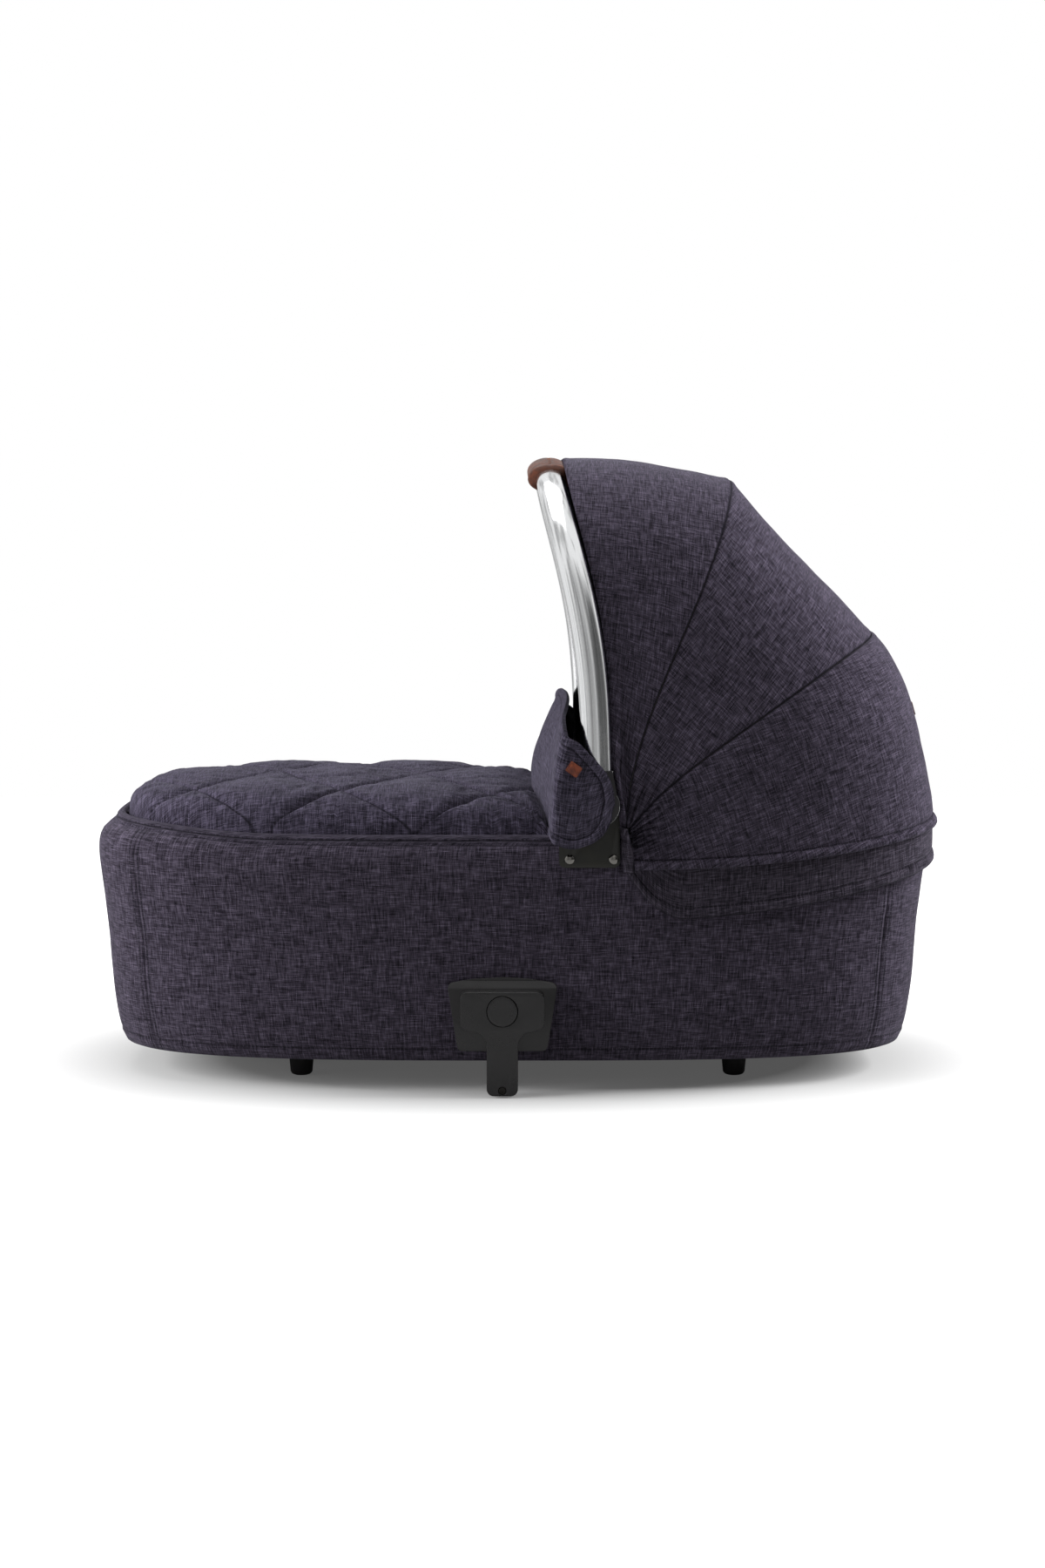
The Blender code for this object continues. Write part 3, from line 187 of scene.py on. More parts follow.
foot_reach, head_reach, half_width, plan_power = 0.4375, 0.4260, 0.2070, 3.2
cover_bottom, cover_top, cover_taper, cover_ease = 0.0320, 0.2490, 0.0260, 0.0100
cover_wall, cover_seam_row, seam_places, hem_height = 0.0018, 0.0055, (-0.388, 0.379), 0.0120
side_height_shares = (0.0, 0.09, 0.25, 0.53, 0.79, 0.90, 0.965, 1.0)
side_inset_shares = (0.92, 0.70, 0.50, 0.35, 0.10, 0.0, 0.07, 0.33)
shoulder_climb, shoulder_start, shoulder_run, shoulder_low = 0.0110, -0.24, 0.19, 0.205


def superellipse(angle, power):
    """A direction's cosine and sine, and how far out in it a rounded square of half width 1 lies."""
    c, s = math.cos(angle), math.sin(angle)
    return c, s, (abs(c) ** power + abs(s) ** power) ** (-1 / power)


def plan_point(share, inset):
    """A point of the tub's plan, moved in by inset: share runs once round from the head end."""
    c, s, reach = superellipse(2 * math.pi * share, plan_power)
    length = (head_reach if c > 0 else foot_reach) - inset
    return length * reach * c, (half_width - inset) * reach * s


def plan_rows(heights_and_insets, count):
    """Rows of points round the tub's plan, each at a height and an inset."""
    shares = numpy.linspace(0, 1, count)
    return numpy.array(
        [[(*plan_point(share, inset), z) for share in shares] for z, inset in heights_and_insets])


def half_width_at(x, inset):
    """The tub's half width at a place along it."""
    length = (head_reach if x > 0 else foot_reach) - inset
    share = min(1.0, abs(x) / length)
    return (half_width - inset) * (1 - share**plan_power) ** (1 / plan_power)


def cover_inset(z):
    """How far the cover is in from its widest at a height, with its outline's corners eased."""
    spread = numpy.linspace(-cover_ease, cover_ease, 9)
    room_left = min(1.0, (cover_top - z) / cover_ease, (z - cover_bottom) / cover_ease)
    shares = (z + spread * room_left - cover_bottom) / (cover_top - cover_bottom)
    return cover_taper * float(numpy.interp(shares, side_height_shares, side_inset_shares).mean())


def new_material(name):
    """A new material, its node tree and its shader."""
    made = bpy.data.materials.new(name)
    made.use_nodes = True
    return made, made.node_tree, made.node_tree.nodes["Principled BSDF"]


def melange(name, dark, pale, rows=(), seam_shade=0.55, sheen=0.12):
    """Plain weave of heathered polyester: each yarn runs dark and pale along its length, and rims look
    dusty. The yarns are 0.8 mm apart, coarser than the real ones, which wouldn't show. rows are the
    distances from a seam at which topstitching runs. Close along each seam the cloth is darkened by a
    painted shade, the shadow in the seam's fold, as deep as the seam argument asks."""
    yarn, crease_shade_width = 0.0008, 0.0026
    stitch, stitch_gap, stitch_core, stitch_edge = 0.0042, 0.16, 0.0005, 0.0015
    cloth, tree, shader = new_material(name)
    counted = {0: add_node(tree, "UVMap", uv_map="cloth"), 1: (1 / yarn, 1 / yarn, 0)}
    counted = add_node(tree, "VectorMath", counted, operation="MULTIPLY")
    crossing = add_node(tree, "VectorMath", {0: counted}, operation="FLOOR")
    yarns = []
    for steps in ((1.7, 1 / 20, 1), (1 / 20, 1.7, 1), (0.85, 1 / 40, 1), (1 / 40, 0.85, 1)):
        placed = add_node(tree, "Mapping", {"Vector": crossing, "Scale": steps})
        heather = {"Vector": placed, "Scale": 1.0, "Detail": 2.0, "Roughness": 0.6}
        yarns.append(add_node(tree, "TexNoise", heather))
    over = add_node(tree, "TexChecker", {"Vector": counted, "Scale": 1.0}).outputs["Fac"]
    upper = add_node(tree, "Mix", {"Factor": over, "A": yarns[0], "B": yarns[1]})
    both = add_node(tree, "Math", {0: yarns[0], 1: yarns[1]}, operation="ADD")
    slubs = add_node(tree, "Math", {0: yarns[2], 1: yarns[3]}, operation="ADD")
    mixed = add_node(tree, "Math", {0: both, 1: 0.5, 2: upper}, operation="MULTIPLY_ADD")
    mixed = add_node(tree, "Math", {0: slubs, 1: 0.24, 2: mixed}, operation="MULTIPLY_ADD")
    shade = add_node(tree, "MapRange", {"Value": mixed, "From Min": 0.84, "From Max": 1.64})
    shade = add_node(tree, "Math", {0: shade, 1: 1.7}, operation="POWER")
    colours = {"Factor": shade, "A": linear(dark), "B": linear(pale)}
    colour = add_node(tree, "Mix", colours, data_type="RGBA").outputs["Result"]
    crossings = add_node(tree, "TexVoronoi", {"Vector": counted, "Scale": 1.0, "Randomness": 0.25})
    knots = crossings.outputs["Distance"]
    height = add_node(tree, "Math", {0: upper, 1: knots}, operation="SUBTRACT")
    # Painted shade: close to a seam the colour is drawn towards near-black, for the shadow in its fold; the
    # dashed topstitching rows join in as dark thread.
    if rows:
        edge = add_node(tree, "SeparateXYZ", {0: add_node(tree, "UVMap", uv_map="stitch")}).outputs
        limits = {"Value": edge["X"], "From Max": crease_shade_width, "To Min": seam_shade, "To Max": 0.0}
        seam_shade_and_stitches = add_node(tree, "MapRange", limits, interpolation_type="SMOOTHSTEP")
        step = add_node(tree, "Math", {0: edge["Y"], 1: 1 / stitch}, operation="MULTIPLY")
        step = add_node(tree, "Math", {0: step}, operation="FRACT")
        sewn_here = add_node(tree, "Math", {0: step, 1: stitch_gap}, operation="GREATER_THAN")
        for row in rows:
            off = add_node(tree, "Math", {0: edge["X"], 1: row}, operation="SUBTRACT")
            off = add_node(tree, "Math", {0: off}, operation="ABSOLUTE")
            limits = {"From Min": stitch_core, "From Max": stitch_edge, "To Min": 0.68, "To Max": 0.0}
            line = add_node(tree, "MapRange", {"Value": off, **limits})
            line = add_node(tree, "Math", {0: line, 1: sewn_here}, operation="MULTIPLY")
            seam_shade_and_stitches = add_node(tree, "Math", {0: seam_shade_and_stitches, 1: line}, operation="MAXIMUM")
        # The painted seam shade and the topstitching thread both blend towards this near-black.
        shade_and_thread = {"Factor": seam_shade_and_stitches, "A": colour, "B": linear("#0c0b10")}
        colour = add_node(tree, "Mix", shade_and_thread, data_type="RGBA").outputs["Result"]
        height = add_node(tree, "Math", {0: seam_shade_and_stitches, 1: -2.0, 2: height}, operation="MULTIPLY_ADD")
    bump = add_node(tree, "Bump", {"Height": height, "Strength": 0.45, "Distance": 0.0004})
    finish = {"Base Color": colour, "Normal": bump, "Roughness": 0.92, "Specular IOR Level": 0.12}
    fuzz = {"Sheen Weight": sheen, "Sheen Roughness": 0.45, "Sheen Tint": linear("#c9c7da")}
    feed(tree, shader, {**finish, **fuzz})
    return cloth


def lengths(grid, axis):
    """Distances along a grid of points, from its first row or column."""
    steps = numpy.linalg.norm(numpy.diff(grid, axis=axis), axis=2)
    start = numpy.zeros_like(numpy.take(steps, [0], axis=axis))
    return numpy.cumsum(numpy.concatenate([start, steps], axis=axis), axis=axis)


def unit(ways):
    """Directions, each made one long."""
    return ways / numpy.maximum(numpy.linalg.norm(ways, axis=-1, keepdims=True), 1e-12)


def ramp(distance, length):
    """A share that climbs from 0 to 1 over a length."""
    return numpy.clip(distance / length, 0, 1)


def ridge(distance, place, width, height):
    """A soft ridge, or a groove where its height is below zero, at a place across a cloth."""
    return height * numpy.exp(-(((distance - place) / width) ** 2))


def added(name, data):
    """A new object in the scene, the only one selected."""
    made = bpy.data.objects.new(name, data)
    bpy.context.scene.collection.objects.link(made)
    bpy.ops.object.select_all(action="DESELECT")
    made.select_set(True)
    bpy.context.view_layer.objects.active = made
    return made


def sheet_mesh(name, grid):
    """A mesh through a grid of points, with its points' numbers and its faces' corners."""
    index = numpy.arange(grid.shape[0] * grid.shape[1]).reshape(grid.shape[:2])
    corners = [index[:-1, :-1], index[:-1, 1:], index[1:, 1:], index[1:, :-1]]
    corners = numpy.stack(corners, axis=-1).reshape(-1, 4)
    mesh = bpy.data.meshes.new(name)
    mesh.from_pydata(grid.reshape(-1, 3).tolist(), [], corners.tolist())
    return mesh, index, corners


def sewn(name, grid, cloths, thickness, weave=None, stitch=None, offset=-1.0, smooth=60):
    """A sheet of cloth through a grid of points, outer face first, with its weave and its seams' distances as
    maps. A second cloth is its lining."""
    mesh, _, corners = sheet_mesh(name, grid)
    if weave is None:
        weave = numpy.stack([lengths(grid, 1), lengths(grid, 0)], axis=-1)
    maps = {"cloth": weave} if stitch is None else {"cloth": weave, "stitch": stitch}
    for title, values in maps.items():
        layer = mesh.uv_layers.new(name=title)
        layer.data.foreach_set("uv", values.reshape(-1, 2)[corners.ravel()].ravel())
    work = bmesh.new()
    work.from_mesh(mesh)
    bmesh.ops.remove_doubles(work, verts=work.verts, dist=0.00002)
    work.to_mesh(mesh)
    work.free()
    made = added(name, mesh)
    for cloth in cloths:
        mesh.materials.append(cloth)
    if thickness:
        wall = made.modifiers.new("thickness", "SOLIDIFY")
        wall.thickness = thickness
        wall.offset = offset
        wall.use_even_offset = False
        wall.material_offset = len(cloths) - 1
        bpy.ops.object.modifier_apply(modifier=wall.name)
    bpy.ops.object.shade_smooth_by_angle(angle=math.radians(smooth))
    return made


def waves(points, size, depth, seed):
    """Soft uneven swells, as cloth has between its seams, in metres at each point of a grid."""
    shift = Vector((seed, -seed, 2 * seed))
    swell = [noise.noise(Vector(point) / size + shift) for point in points.reshape(-1, 3)]
    return depth * numpy.array(swell).reshape(points.shape[:2])


def foot_shoulder(grid):
    """The rim climbs round the foot end, over a rounder shoulder than along the sides."""
    x, y, z = grid[..., 0], grid[..., 1], grid[..., 2]
    climb = ramp(shoulder_start - x, shoulder_run)
    share_up = ramp(z - shoulder_low, cover_top - shoulder_low)
    climb = shoulder_climb * climb**2 * (3 - 2 * climb) * share_up**1.5
    along, across = numpy.abs(x / foot_reach), numpy.abs(y / half_width)
    rim = (along**plan_power + across**plan_power) ** (1 / plan_power)
    way = numpy.stack([x / foot_reach**2, y / half_width**2], axis=-1)
    way = unit(way * numpy.abs(way) ** 1.2)
    moved = grid.copy()
    moved[..., :2] -= way * (0.9 * climb * ramp(z - 0.240, 0.010) * rim**3)[..., None]
    moved[..., 2] += climb * rim**4
    return moved


# Painted shade: the cover cloth darkens close along each upright seam, for the shadow in its fold.
cover_cloth = melange("melange_cover_cloth", "#100d14", "#675f70", rows=(cover_seam_row,))
cover_back = melange("melange_cloth_back", "#131217", "#2b2930")
coarse = numpy.array([plan_point(share, 0) for share in numpy.linspace(0, 1, 4001)])
seam_shares = []
for i in range(4000):
    for seam_x in seam_places:
        if (coarse[i, 0] - seam_x) * (coarse[i + 1, 0] - seam_x) < 0:
            seam_shares.append(i / 4000)
close = [share + offset for share in seam_shares for offset in numpy.linspace(-0.004, 0.004, 9)]
around = numpy.unique(numpy.concatenate([numpy.linspace(0, 1, 361), close]))
hem_inset, rim_inset = side_inset_shares[0] * cover_taper, side_inset_shares[-1] * cover_taper
walls = [(cover_bottom - 0.0020, hem_inset + 0.030), (cover_bottom - 0.0022, hem_inset + 0.004)]
for height in numpy.linspace(cover_bottom, cover_top, 60):
    lift = max(0.0, 1 - (height - cover_bottom) / 0.008)
    walls.append((height - 0.0010 * lift, cover_inset(height) + 0.0012 * lift))
walls.append((cover_top + 0.0006, rim_inset + 0.0022))
grid = numpy.array([[(*plan_point(share, inset), z) for share in around] for z, inset in walls])
run = lengths(grid[30:31], 1)[0]
gap = numpy.abs(run[:, None] - numpy.interp(seam_shares, around, run)).min(axis=1)
rise = lengths(grid, 0).mean(axis=1)
outward = (grid[..., :2] - grid[..., :2].mean(axis=1, keepdims=True)) / (head_reach, half_width)
outward = unit(numpy.sign(outward) * numpy.abs(outward) ** 2.2)
above_hem = grid[..., 2] - cover_bottom
tight = numpy.sin(ramp(above_hem, cover_top - cover_bottom) * math.pi)
swell = waves(grid, 0.075, 0.0011, 3.1) * tight + waves(grid, 0.022, 0.0004, 7.7) * tight
swell += ridge(gap, 0, 0.0016, -0.0014) * numpy.sqrt(tight)
swell += ridge(above_hem, hem_height, 0.0015, -0.0008) + ridge(above_hem, 0.007, 0.004, 0.0006)
grid[..., :2] += outward * swell[..., None]
hem = numpy.abs(rise - rise[2] - hem_height)[:, None]
near_seam = numpy.minimum(gap[None, :], hem + 0.0048)
stitch = numpy.stack([near_seam, numpy.where(gap[None, :] < hem, rise[:, None], run[None, :])], axis=-1)
weave = numpy.stack(numpy.meshgrid(run, rise), axis=-1)
cover = sewn("tub_cover_cloth", foot_shoulder(grid), [cover_cloth, cover_back], cover_wall, weave, stitch)
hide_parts("outer_cover")
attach(cover, "tub")

# The apron: a padded cloth over the feet, sewn through in diamonds and gathered where it meets the wind flap.
# Its quilting pulls the filling down in rounded channels, and short creases cross the lines.

apron_inset, apron_base, apron_crown, apron_wall = 0.0180, 0.2505, 0.0560, 0.0085
apron_head, apron_sweep, apron_roll, apron_fall = 0.0140, 0.0180, 0.0600, 0.13
diamond, diamond_start, channel_depth = 0.1520, -0.2540, 0.0036
apron_length = foot_reach - apron_inset - 0.0070
apron_half = half_width - apron_inset
row_step, pleat_reach, puff_most = 0.0031, 0.0700, 0.0052


def quilt_lines(x, across):
    """Distances to the nearest line of each crossing family, in shares of a diamond."""
    phases = [(x - diamond_start) / diamond + way * across for way in (-1, 1)]
    return [abs(phase - round(phase)) for phase in phases]


def apron_roll_share(x):
    """How far a place is into the roll at the apron's head edge."""
    return min(1.0, max(0.0, (x - apron_head + apron_roll) / apron_roll))


def apron_height(x, rim, share):
    """The filled apron's height: square-shouldered, lower towards the flap and drawn down at its corners."""
    slope = 1 - apron_fall * min(1.0, max(0.0, x / 0.26 + 1))
    drawn_down = (0.08 + 0.40 * share**2) * apron_roll_share(x) ** 4
    return apron_crown * slope * (1 - rim**5) ** 0.25 * (1 - drawn_down)


def apron_point(x, across):
    """A point of the apron, with its quilting drawn in: across runs from -1 to 1 over its width."""
    share = math.sin(across * math.pi / 2)
    y = half_width_at(min(x, 0.0), apron_inset) * share
    along = abs(min(x, 0.0)) / apron_length
    rim = min(1.0, (along**plan_power + abs(y / apron_half) ** plan_power) ** (1 / plan_power))
    rise = apron_height(x, rim, share)
    away = min(quilt_lines(x, across))
    pull = math.exp(-((away / 0.026) ** 1.3)) + 0.30 * math.exp(-((away / 0.10) ** 2))
    fall = pull * channel_depth * (0.7 + 1.2 * abs(share)) * min(1.0, 2 * (rise / apron_crown) ** 2)
    return (x + apron_sweep * share**2 * apron_roll_share(x) ** 2, y, apron_base + rise - fall)


def settle(grid, held, spare, pressure, stiffness, frames, cap, looser, spare_there):
    """Lets cloth with some spare length puff between its seams, by cloth simulation: held points stay where
    they are, no point moves further than cap, and looser marks where the cloth has more to spare."""
    mesh, index, _ = sheet_mesh("trial_cloth", grid)
    trial = added("trial_cloth", mesh)
    pins = trial.vertex_groups.new(name="held")
    pins.add(index[held].tolist(), 1.0, "REPLACE")
    loose = trial.vertex_groups.new(name="looser")
    for place, weight in zip(index.ravel().tolist(), looser.ravel().tolist()):
        if weight > 0.01:
            loose.add([place], weight, "REPLACE")
    cloth = trial.modifiers.new("puff", "CLOTH")
    rules = cloth.settings
    rules.quality = 5
    rules.mass = 0.2
    rules.air_damping = 4.0
    rules.tension_stiffness = rules.compression_stiffness = 18
    rules.shear_stiffness = 6
    rules.bending_stiffness = stiffness
    rules.effector_weights.gravity = 0
    rules.use_pressure = True
    rules.uniform_pressure_force = pressure
    rules.vertex_group_mass = "held"
    rules.shrink_min = -spare
    rules.vertex_group_shrink = "looser"
    rules.shrink_max = -spare_there
    cloth.collision_settings.use_collision = False
    for frame_number in range(1, frames + 1):
        bpy.context.scene.frame_set(frame_number)
    shaped = trial.evaluated_get(bpy.context.evaluated_depsgraph_get())
    points = numpy.zeros(grid.size)
    shaped.data.vertices.foreach_get("co", points)
    bpy.data.objects.remove(trial)
    bpy.context.scene.frame_set(1)
    moved = points.reshape(grid.shape) - grid
    size = numpy.linalg.norm(moved, axis=-1, keepdims=True)
    return grid + moved * (cap * numpy.tanh(size / cap) / numpy.maximum(size, 1e-9))


# Painted shade: the quilted cloth turns nearly black along each quilting line, for the shadow in its channel;
# the channels and puffs are modelled.
quilt_cloth = melange("melange_quilted_cloth", "#100e15", "#686176", rows=(0.0,), seam_shade=0.95, sheen=0.16)
lining = melange("soft_black_lining", "#0d0d0f", "#1d1c20")
xs = -apron_length * (1 - numpy.linspace(0, 1, 26) ** 2 * 0.16)
xs = numpy.concatenate([xs, numpy.arange(xs[-1] + row_step, apron_head - 0.001, row_step), [apron_head]])
acrosses = numpy.linspace(1, -1, 145)
grid = numpy.array([[apron_point(x, across) for across in acrosses] for x in xs])
distance = numpy.array([[min(quilt_lines(x, across)) for across in acrosses] for x in xs]) * diamond * 0.75
level = (grid[..., 2] - apron_base) / apron_crown
grid[..., 2] += waves(grid, 0.055, 0.0026, 1.3) * numpy.clip(level, 0, 1) ** 2
grid[..., 2] += waves(grid, 0.012, 0.0009, 5.9) * numpy.clip(level * 1.5, 0, 1)
held = distance < 0.0021
held[0] = held[-1] = True
held[:, 0] = held[:, -1] = True
gather = numpy.clip(1 - (apron_head - grid[..., 0]) / 0.075, 0, 1) ** 1.5
grid = settle(grid, held, 0.012, 1.2, 0.25, 20, puff_most, gather, 0.080)
corner_x = apron_head + apron_sweep - grid[..., 0]
corner_y = apron_half + 0.004 - numpy.abs(grid[..., 1])
reach = numpy.hypot(corner_x, corner_y)
pleats = numpy.sin(numpy.arctan2(corner_y, corner_x) * 17 + waves(grid, 0.05, 1.4, 6.6))
grid[..., 2] += pleats * ridge(reach, 0, pleat_reach, 0.0030) * ramp(reach, 0.012)
grid = foot_shoulder(grid)
stitch = numpy.stack([distance, grid[..., 0] * 1.2], axis=-1)
over = lengths(grid, 1)
weave = numpy.stack([over - over[:, -1:] / 2, grid[..., 0]], axis=-1)
apron = sewn("quilted_apron", grid, [quilt_cloth, lining], apron_wall, weave, stitch)
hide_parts("apron")
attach(apron, "tub")

# The rim: a cloth-covered zip tape stitched round the tub, a soft bead between the cover and the apron. Two
# rows of stitching sink into it.

bead_middle, bead_inset, bead_reach, bead_rise, bead_wall = 0.2500, 0.0170, 0.0085, 0.0092, 0.0012
bead_seam_swings, groove_width, groove_depth = (28, 118), 0.0011, 0.0013
# Painted shade: the bead darkens in the grooves where its two rows of stitching sink in, for the shadow
# there.
bead_cloth = melange("melange_bead_cloth", "#0f0d14", "#625b6b", rows=(0.0,), seam_shade=0.75)
swings = numpy.linspace(-25, 150, 43)
from_seam = numpy.abs(swings[:, None] - bead_seam_swings).min(axis=1)
from_seam = numpy.radians(from_seam) * bead_reach
walls = []
for swing, gap in zip(numpy.radians(swings), from_seam):
    groove = ridge(gap, 0, groove_width, groove_depth)
    inset = bead_inset - (bead_reach - groove) * math.cos(swing)
    walls.append((bead_middle + (bead_rise - groove) * math.sin(swing), inset))
grid = plan_rows(walls, 361)
grid[..., 2] += waves(grid, 0.05, 0.0004, 9.4)
along = lengths(grid, 1)
stitch = numpy.stack([1.7 * from_seam[:, None] + 0 * along, along], axis=-1)
bead = sewn("rim_zip_bead", foot_shoulder(grid), [bead_cloth, lining], bead_wall, None, stitch)
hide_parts("rim_zip_band")
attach(bead, "tub")

# The hood: gores of the same cloth over the handle and two sprung steel bows, drawn together at a gather
# point behind each hinge. Each seam is turned in, so it lies in a fine fold beside a faint ridge, and a
# painted shade darkens the cloth in that fold.

hinge = Vector((0.0800, 0, 0.2920))
gather_point = Vector((0.1060, 0, 0.2620))
arch_power, gore_half, tail_rise, tail_step = 3.4, 0.2164, 0.0080, 0.0050
handle_reach, mid_reach, rear_reach = 0.3295, 0.3655, 0.3215
front_back, front_over, gore_wall, seam_clearance = 0.0153, 0.0105, 0.0012, 0.0003
hem_low, hem_rise, hem_half, hem_end, hood_hem = 0.2270, 0.0290, 0.2140, 0.4345, 0.0100
handle_fit = numpy.polyfit((0.10, 0.41, 0.57, 0.73, 0.92, 1.0), (93.4, 93.4, 94.6, 96.7, 98.2, 98.4), 3)
mid_fit = numpy.polyfit(
    (0.07, 0.19, 0.31, 0.46, 0.63, 0.82, 1.0), (86.6, 83.3, 78.6, 75.0, 72.8, 72.6, 71.9), 3)
rear_fit = numpy.polyfit(
    (0.11, 0.26, 0.44, 0.60, 0.77, 0.88, 1.0), (51.6, 45.0, 42.7, 40.7, 38.0, 37.9, 36.6), 3)
first_station = 1 / 12
stations = numpy.concatenate([numpy.linspace(0, first_station, 7)[:-1], numpy.linspace(first_station, 1, 61)])


def arch(station):
    """An arch's reach outwards and upwards at a station, as shares: 0 at the hinge line, 1 at the crown."""
    c, s, reach = superellipse(math.pi / 2 * station, arch_power)
    return reach * abs(c), reach * s


def whole_arch(half):
    """The near half of an arch with its far half, from the far side over the crown to the near side."""
    far = [Vector((point.x, -point.y, point.z)) for point in half[:-1]]
    return far + half[::-1]


def swung(centre, reach, angle, y):
    """A point at a reach and an angle from a centre, seen from the side."""
    return Vector((centre.x + reach * math.cos(angle), y, centre.z + reach * math.sin(angle)))


def gore_seam(centre, reach, fit, tail, over=0.0, back=0.0):
    """A seam over an arch, whose lowest stretch runs to the gather point. over and back move it outwards and
    towards the head end."""
    half = []
    for station in stations:
        out, high = arch(max(station, first_station))
        length = reach * high + over * high
        angle = math.radians(numpy.polyval(fit, high)) - back / length
        point = swung(centre, length, angle, -gore_half * out)
        if station < first_station:
            start = Vector((gather_point.x + tail, -gore_half, gather_point.z + tail_rise))
            point = start.lerp(point, station / first_station)
        half.append(point)
    return whole_arch(half)


def end_width(x, end):
    """How wide the head end is at a place, as a share of its widest."""
    return (1 - min(1.0, x / end) ** plan_power) ** (1 / plan_power)


def lower_edge(low, rise, half, end, first_x):
    """A lower edge round the head end, highest at the end itself."""
    near = []
    for station in stations:
        high = arch(station)[1]
        x = first_x + (end - first_x) * high
        near.append(Vector((x, -half * end_width(x, end), low + rise * high**2)))
    return whole_arch(near)


def outward_of(grid):
    """Unit normals of a grid, out of its outer face."""
    return unit(numpy.cross(numpy.gradient(grid, axis=1), numpy.gradient(grid, axis=0)))


def gore(first, last, bulge, skew, row_count):
    """Points of a gore between two seams, its weave, and its distances from the first and the last seam."""
    steps = (1 - numpy.cos(numpy.linspace(0, math.pi, row_count))) / 2
    high = numpy.concatenate([stations[:-1], stations[::-1]])
    grid = numpy.zeros((row_count, len(first), 3))
    for j, (a, b) in enumerate(zip(first, last)):
        outward = ((a + b) / 2 - gather_point).normalized()
        margin = seam_clearance / (b - a).length
        for i, step in enumerate(steps):
            along = margin + (1 - 2 * margin) * step
            push = bulge * high[j] * math.sin(math.pi * along**skew)
            grid[i, j] = a.lerp(b, along) + outward * push
    down = lengths(grid, 0)
    run = lengths(grid, 1)[row_count // 2]
    weave = numpy.stack([down - down[-1:] / 2, numpy.broadcast_to(run, down.shape)], axis=-1)
    return grid, weave, down, down[-1:] - down, run


def draped(grid, from_first, from_last, seed):
    """The gore with its swells, the ridges beside its seams and the small pleats at the gather point."""
    away = numpy.minimum(from_first, from_last)
    lift = waves(grid, 0.085, 0.0022, seed) + waves(grid, 0.028, 0.0007, seed + 4)
    lift *= ramp(away, 0.030)
    lift += ridge(away, 0.0042, 0.0026, 0.0007) + ridge(away, 0, 0.0012, -0.0007)
    across, up = grid[..., 0] - gather_point.x, grid[..., 2] - gather_point.z
    pleats = numpy.sin(numpy.arctan2(up, across) * 26 + seed + waves(grid, 0.04, 1.6, seed + 8))
    lift += pleats * ridge(numpy.hypot(across, up), 0, pleat_reach, 0.0023) * ramp(away, 0.006)
    return grid + outward_of(grid) * lift[..., None]


front_line = gore_seam(hinge, handle_reach, handle_fit, -tail_step, front_over, front_back)
mid_line = gore_seam(gather_point, mid_reach, mid_fit, 0.0)
rear_line = gore_seam(gather_point, rear_reach, rear_fit, tail_step)
hem_line = lower_edge(hem_low, hem_rise, hem_half, hem_end, gather_point.x + 2 * tail_step)
# Painted shade: each gore darkens close along its seams, for the shadow in their folds. The hemmed cloth's
# row at 0.9996 is a dashed dark line at the hem's very edge, the painted shadow of its turned edge; the row
# at 0.9900 is its real topstitching.
gore_cloth = melange("melange_hood_cloth", "#100e14", "#686072", rows=(0.0,), seam_shade=0.85)
hem_cloth = melange("melange_hemmed_cloth", "#100e14", "#686072", rows=(0.9900, 0.9996), seam_shade=0.85)

for name, node, first, last, bulge, skew, body, seed, count in (
    ("hood_front_gore", "hood_front_panel", front_line, mid_line, 0.0070, 0.75, "handle", 2.0, 44),
    ("hood_middle_gore", "hood_middle_panel", mid_line, rear_line, -0.0010, 1.0, "mid_bow", 11.0, 48),
    ("hood_back_gore", "hood_back_panel", rear_line, hem_line, 0.0190, 0.68, "tub", 23.0, 56),
):
    grid, weave, from_first, from_last, run = gore(first, last, bulge, skew, count)
    grid = draped(grid, from_first, from_last, seed)
    cloth = gore_cloth
    away = numpy.minimum(from_first, from_last)
    if body == "tub":
        cloth = hem_cloth
        away = numpy.where(from_last < 2 * hood_hem, 1 - from_last, from_first)
        lift = 0.0030 * ramp(hood_hem - from_last, hood_hem) ** 0.6
        lift += ridge(from_last, 0, 0.0016, -0.0022) + ridge(from_last, hood_hem, 0.0014, -0.0014)
        grid += outward_of(grid) * lift[..., None]
    elif body == "handle":
        away = from_last
        lift = ridge(from_first, 0.0055, 0.0040, 0.0016) + ridge(from_first, 0.0125, 0.0018, -0.0014)
        grid += outward_of(grid) * (lift * ridge(grid[..., 2], 0.300, 0.070, 1))[..., None]
    stitch = numpy.stack([away, numpy.broadcast_to(run, away.shape)], axis=-1)
    piece = sewn(name, grid, [cloth, lining], gore_wall, weave, stitch, offset=0.0)
    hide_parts(node)
    area = sum(face.area for face in piece.data.polygons) / 2
    wide, long = float(from_first[-1].max()), float(run[-1])
    area = min(area, wide * long)
    if body == "handle":
        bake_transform(piece)
    elif body == "mid_bow":
        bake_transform(piece)
    else:
        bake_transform(piece)
back_gore = piece

# The hood's skirt: a double band of the cloth under the hood's hem, buttoned to the tub, with a stitched hem
# of its own that curves up in front.

skirt_low, skirt_rise, skirt_top, skirt_front, skirt_end = 0.1755, 0.0440, 0.2560, 0.1014, 0.4320
skirt_hem, skirt_wall, skirt_clear, skirt_flare, skirt_width = 0.0105, 0.0015, 0.0011, 0.0030, 0.078
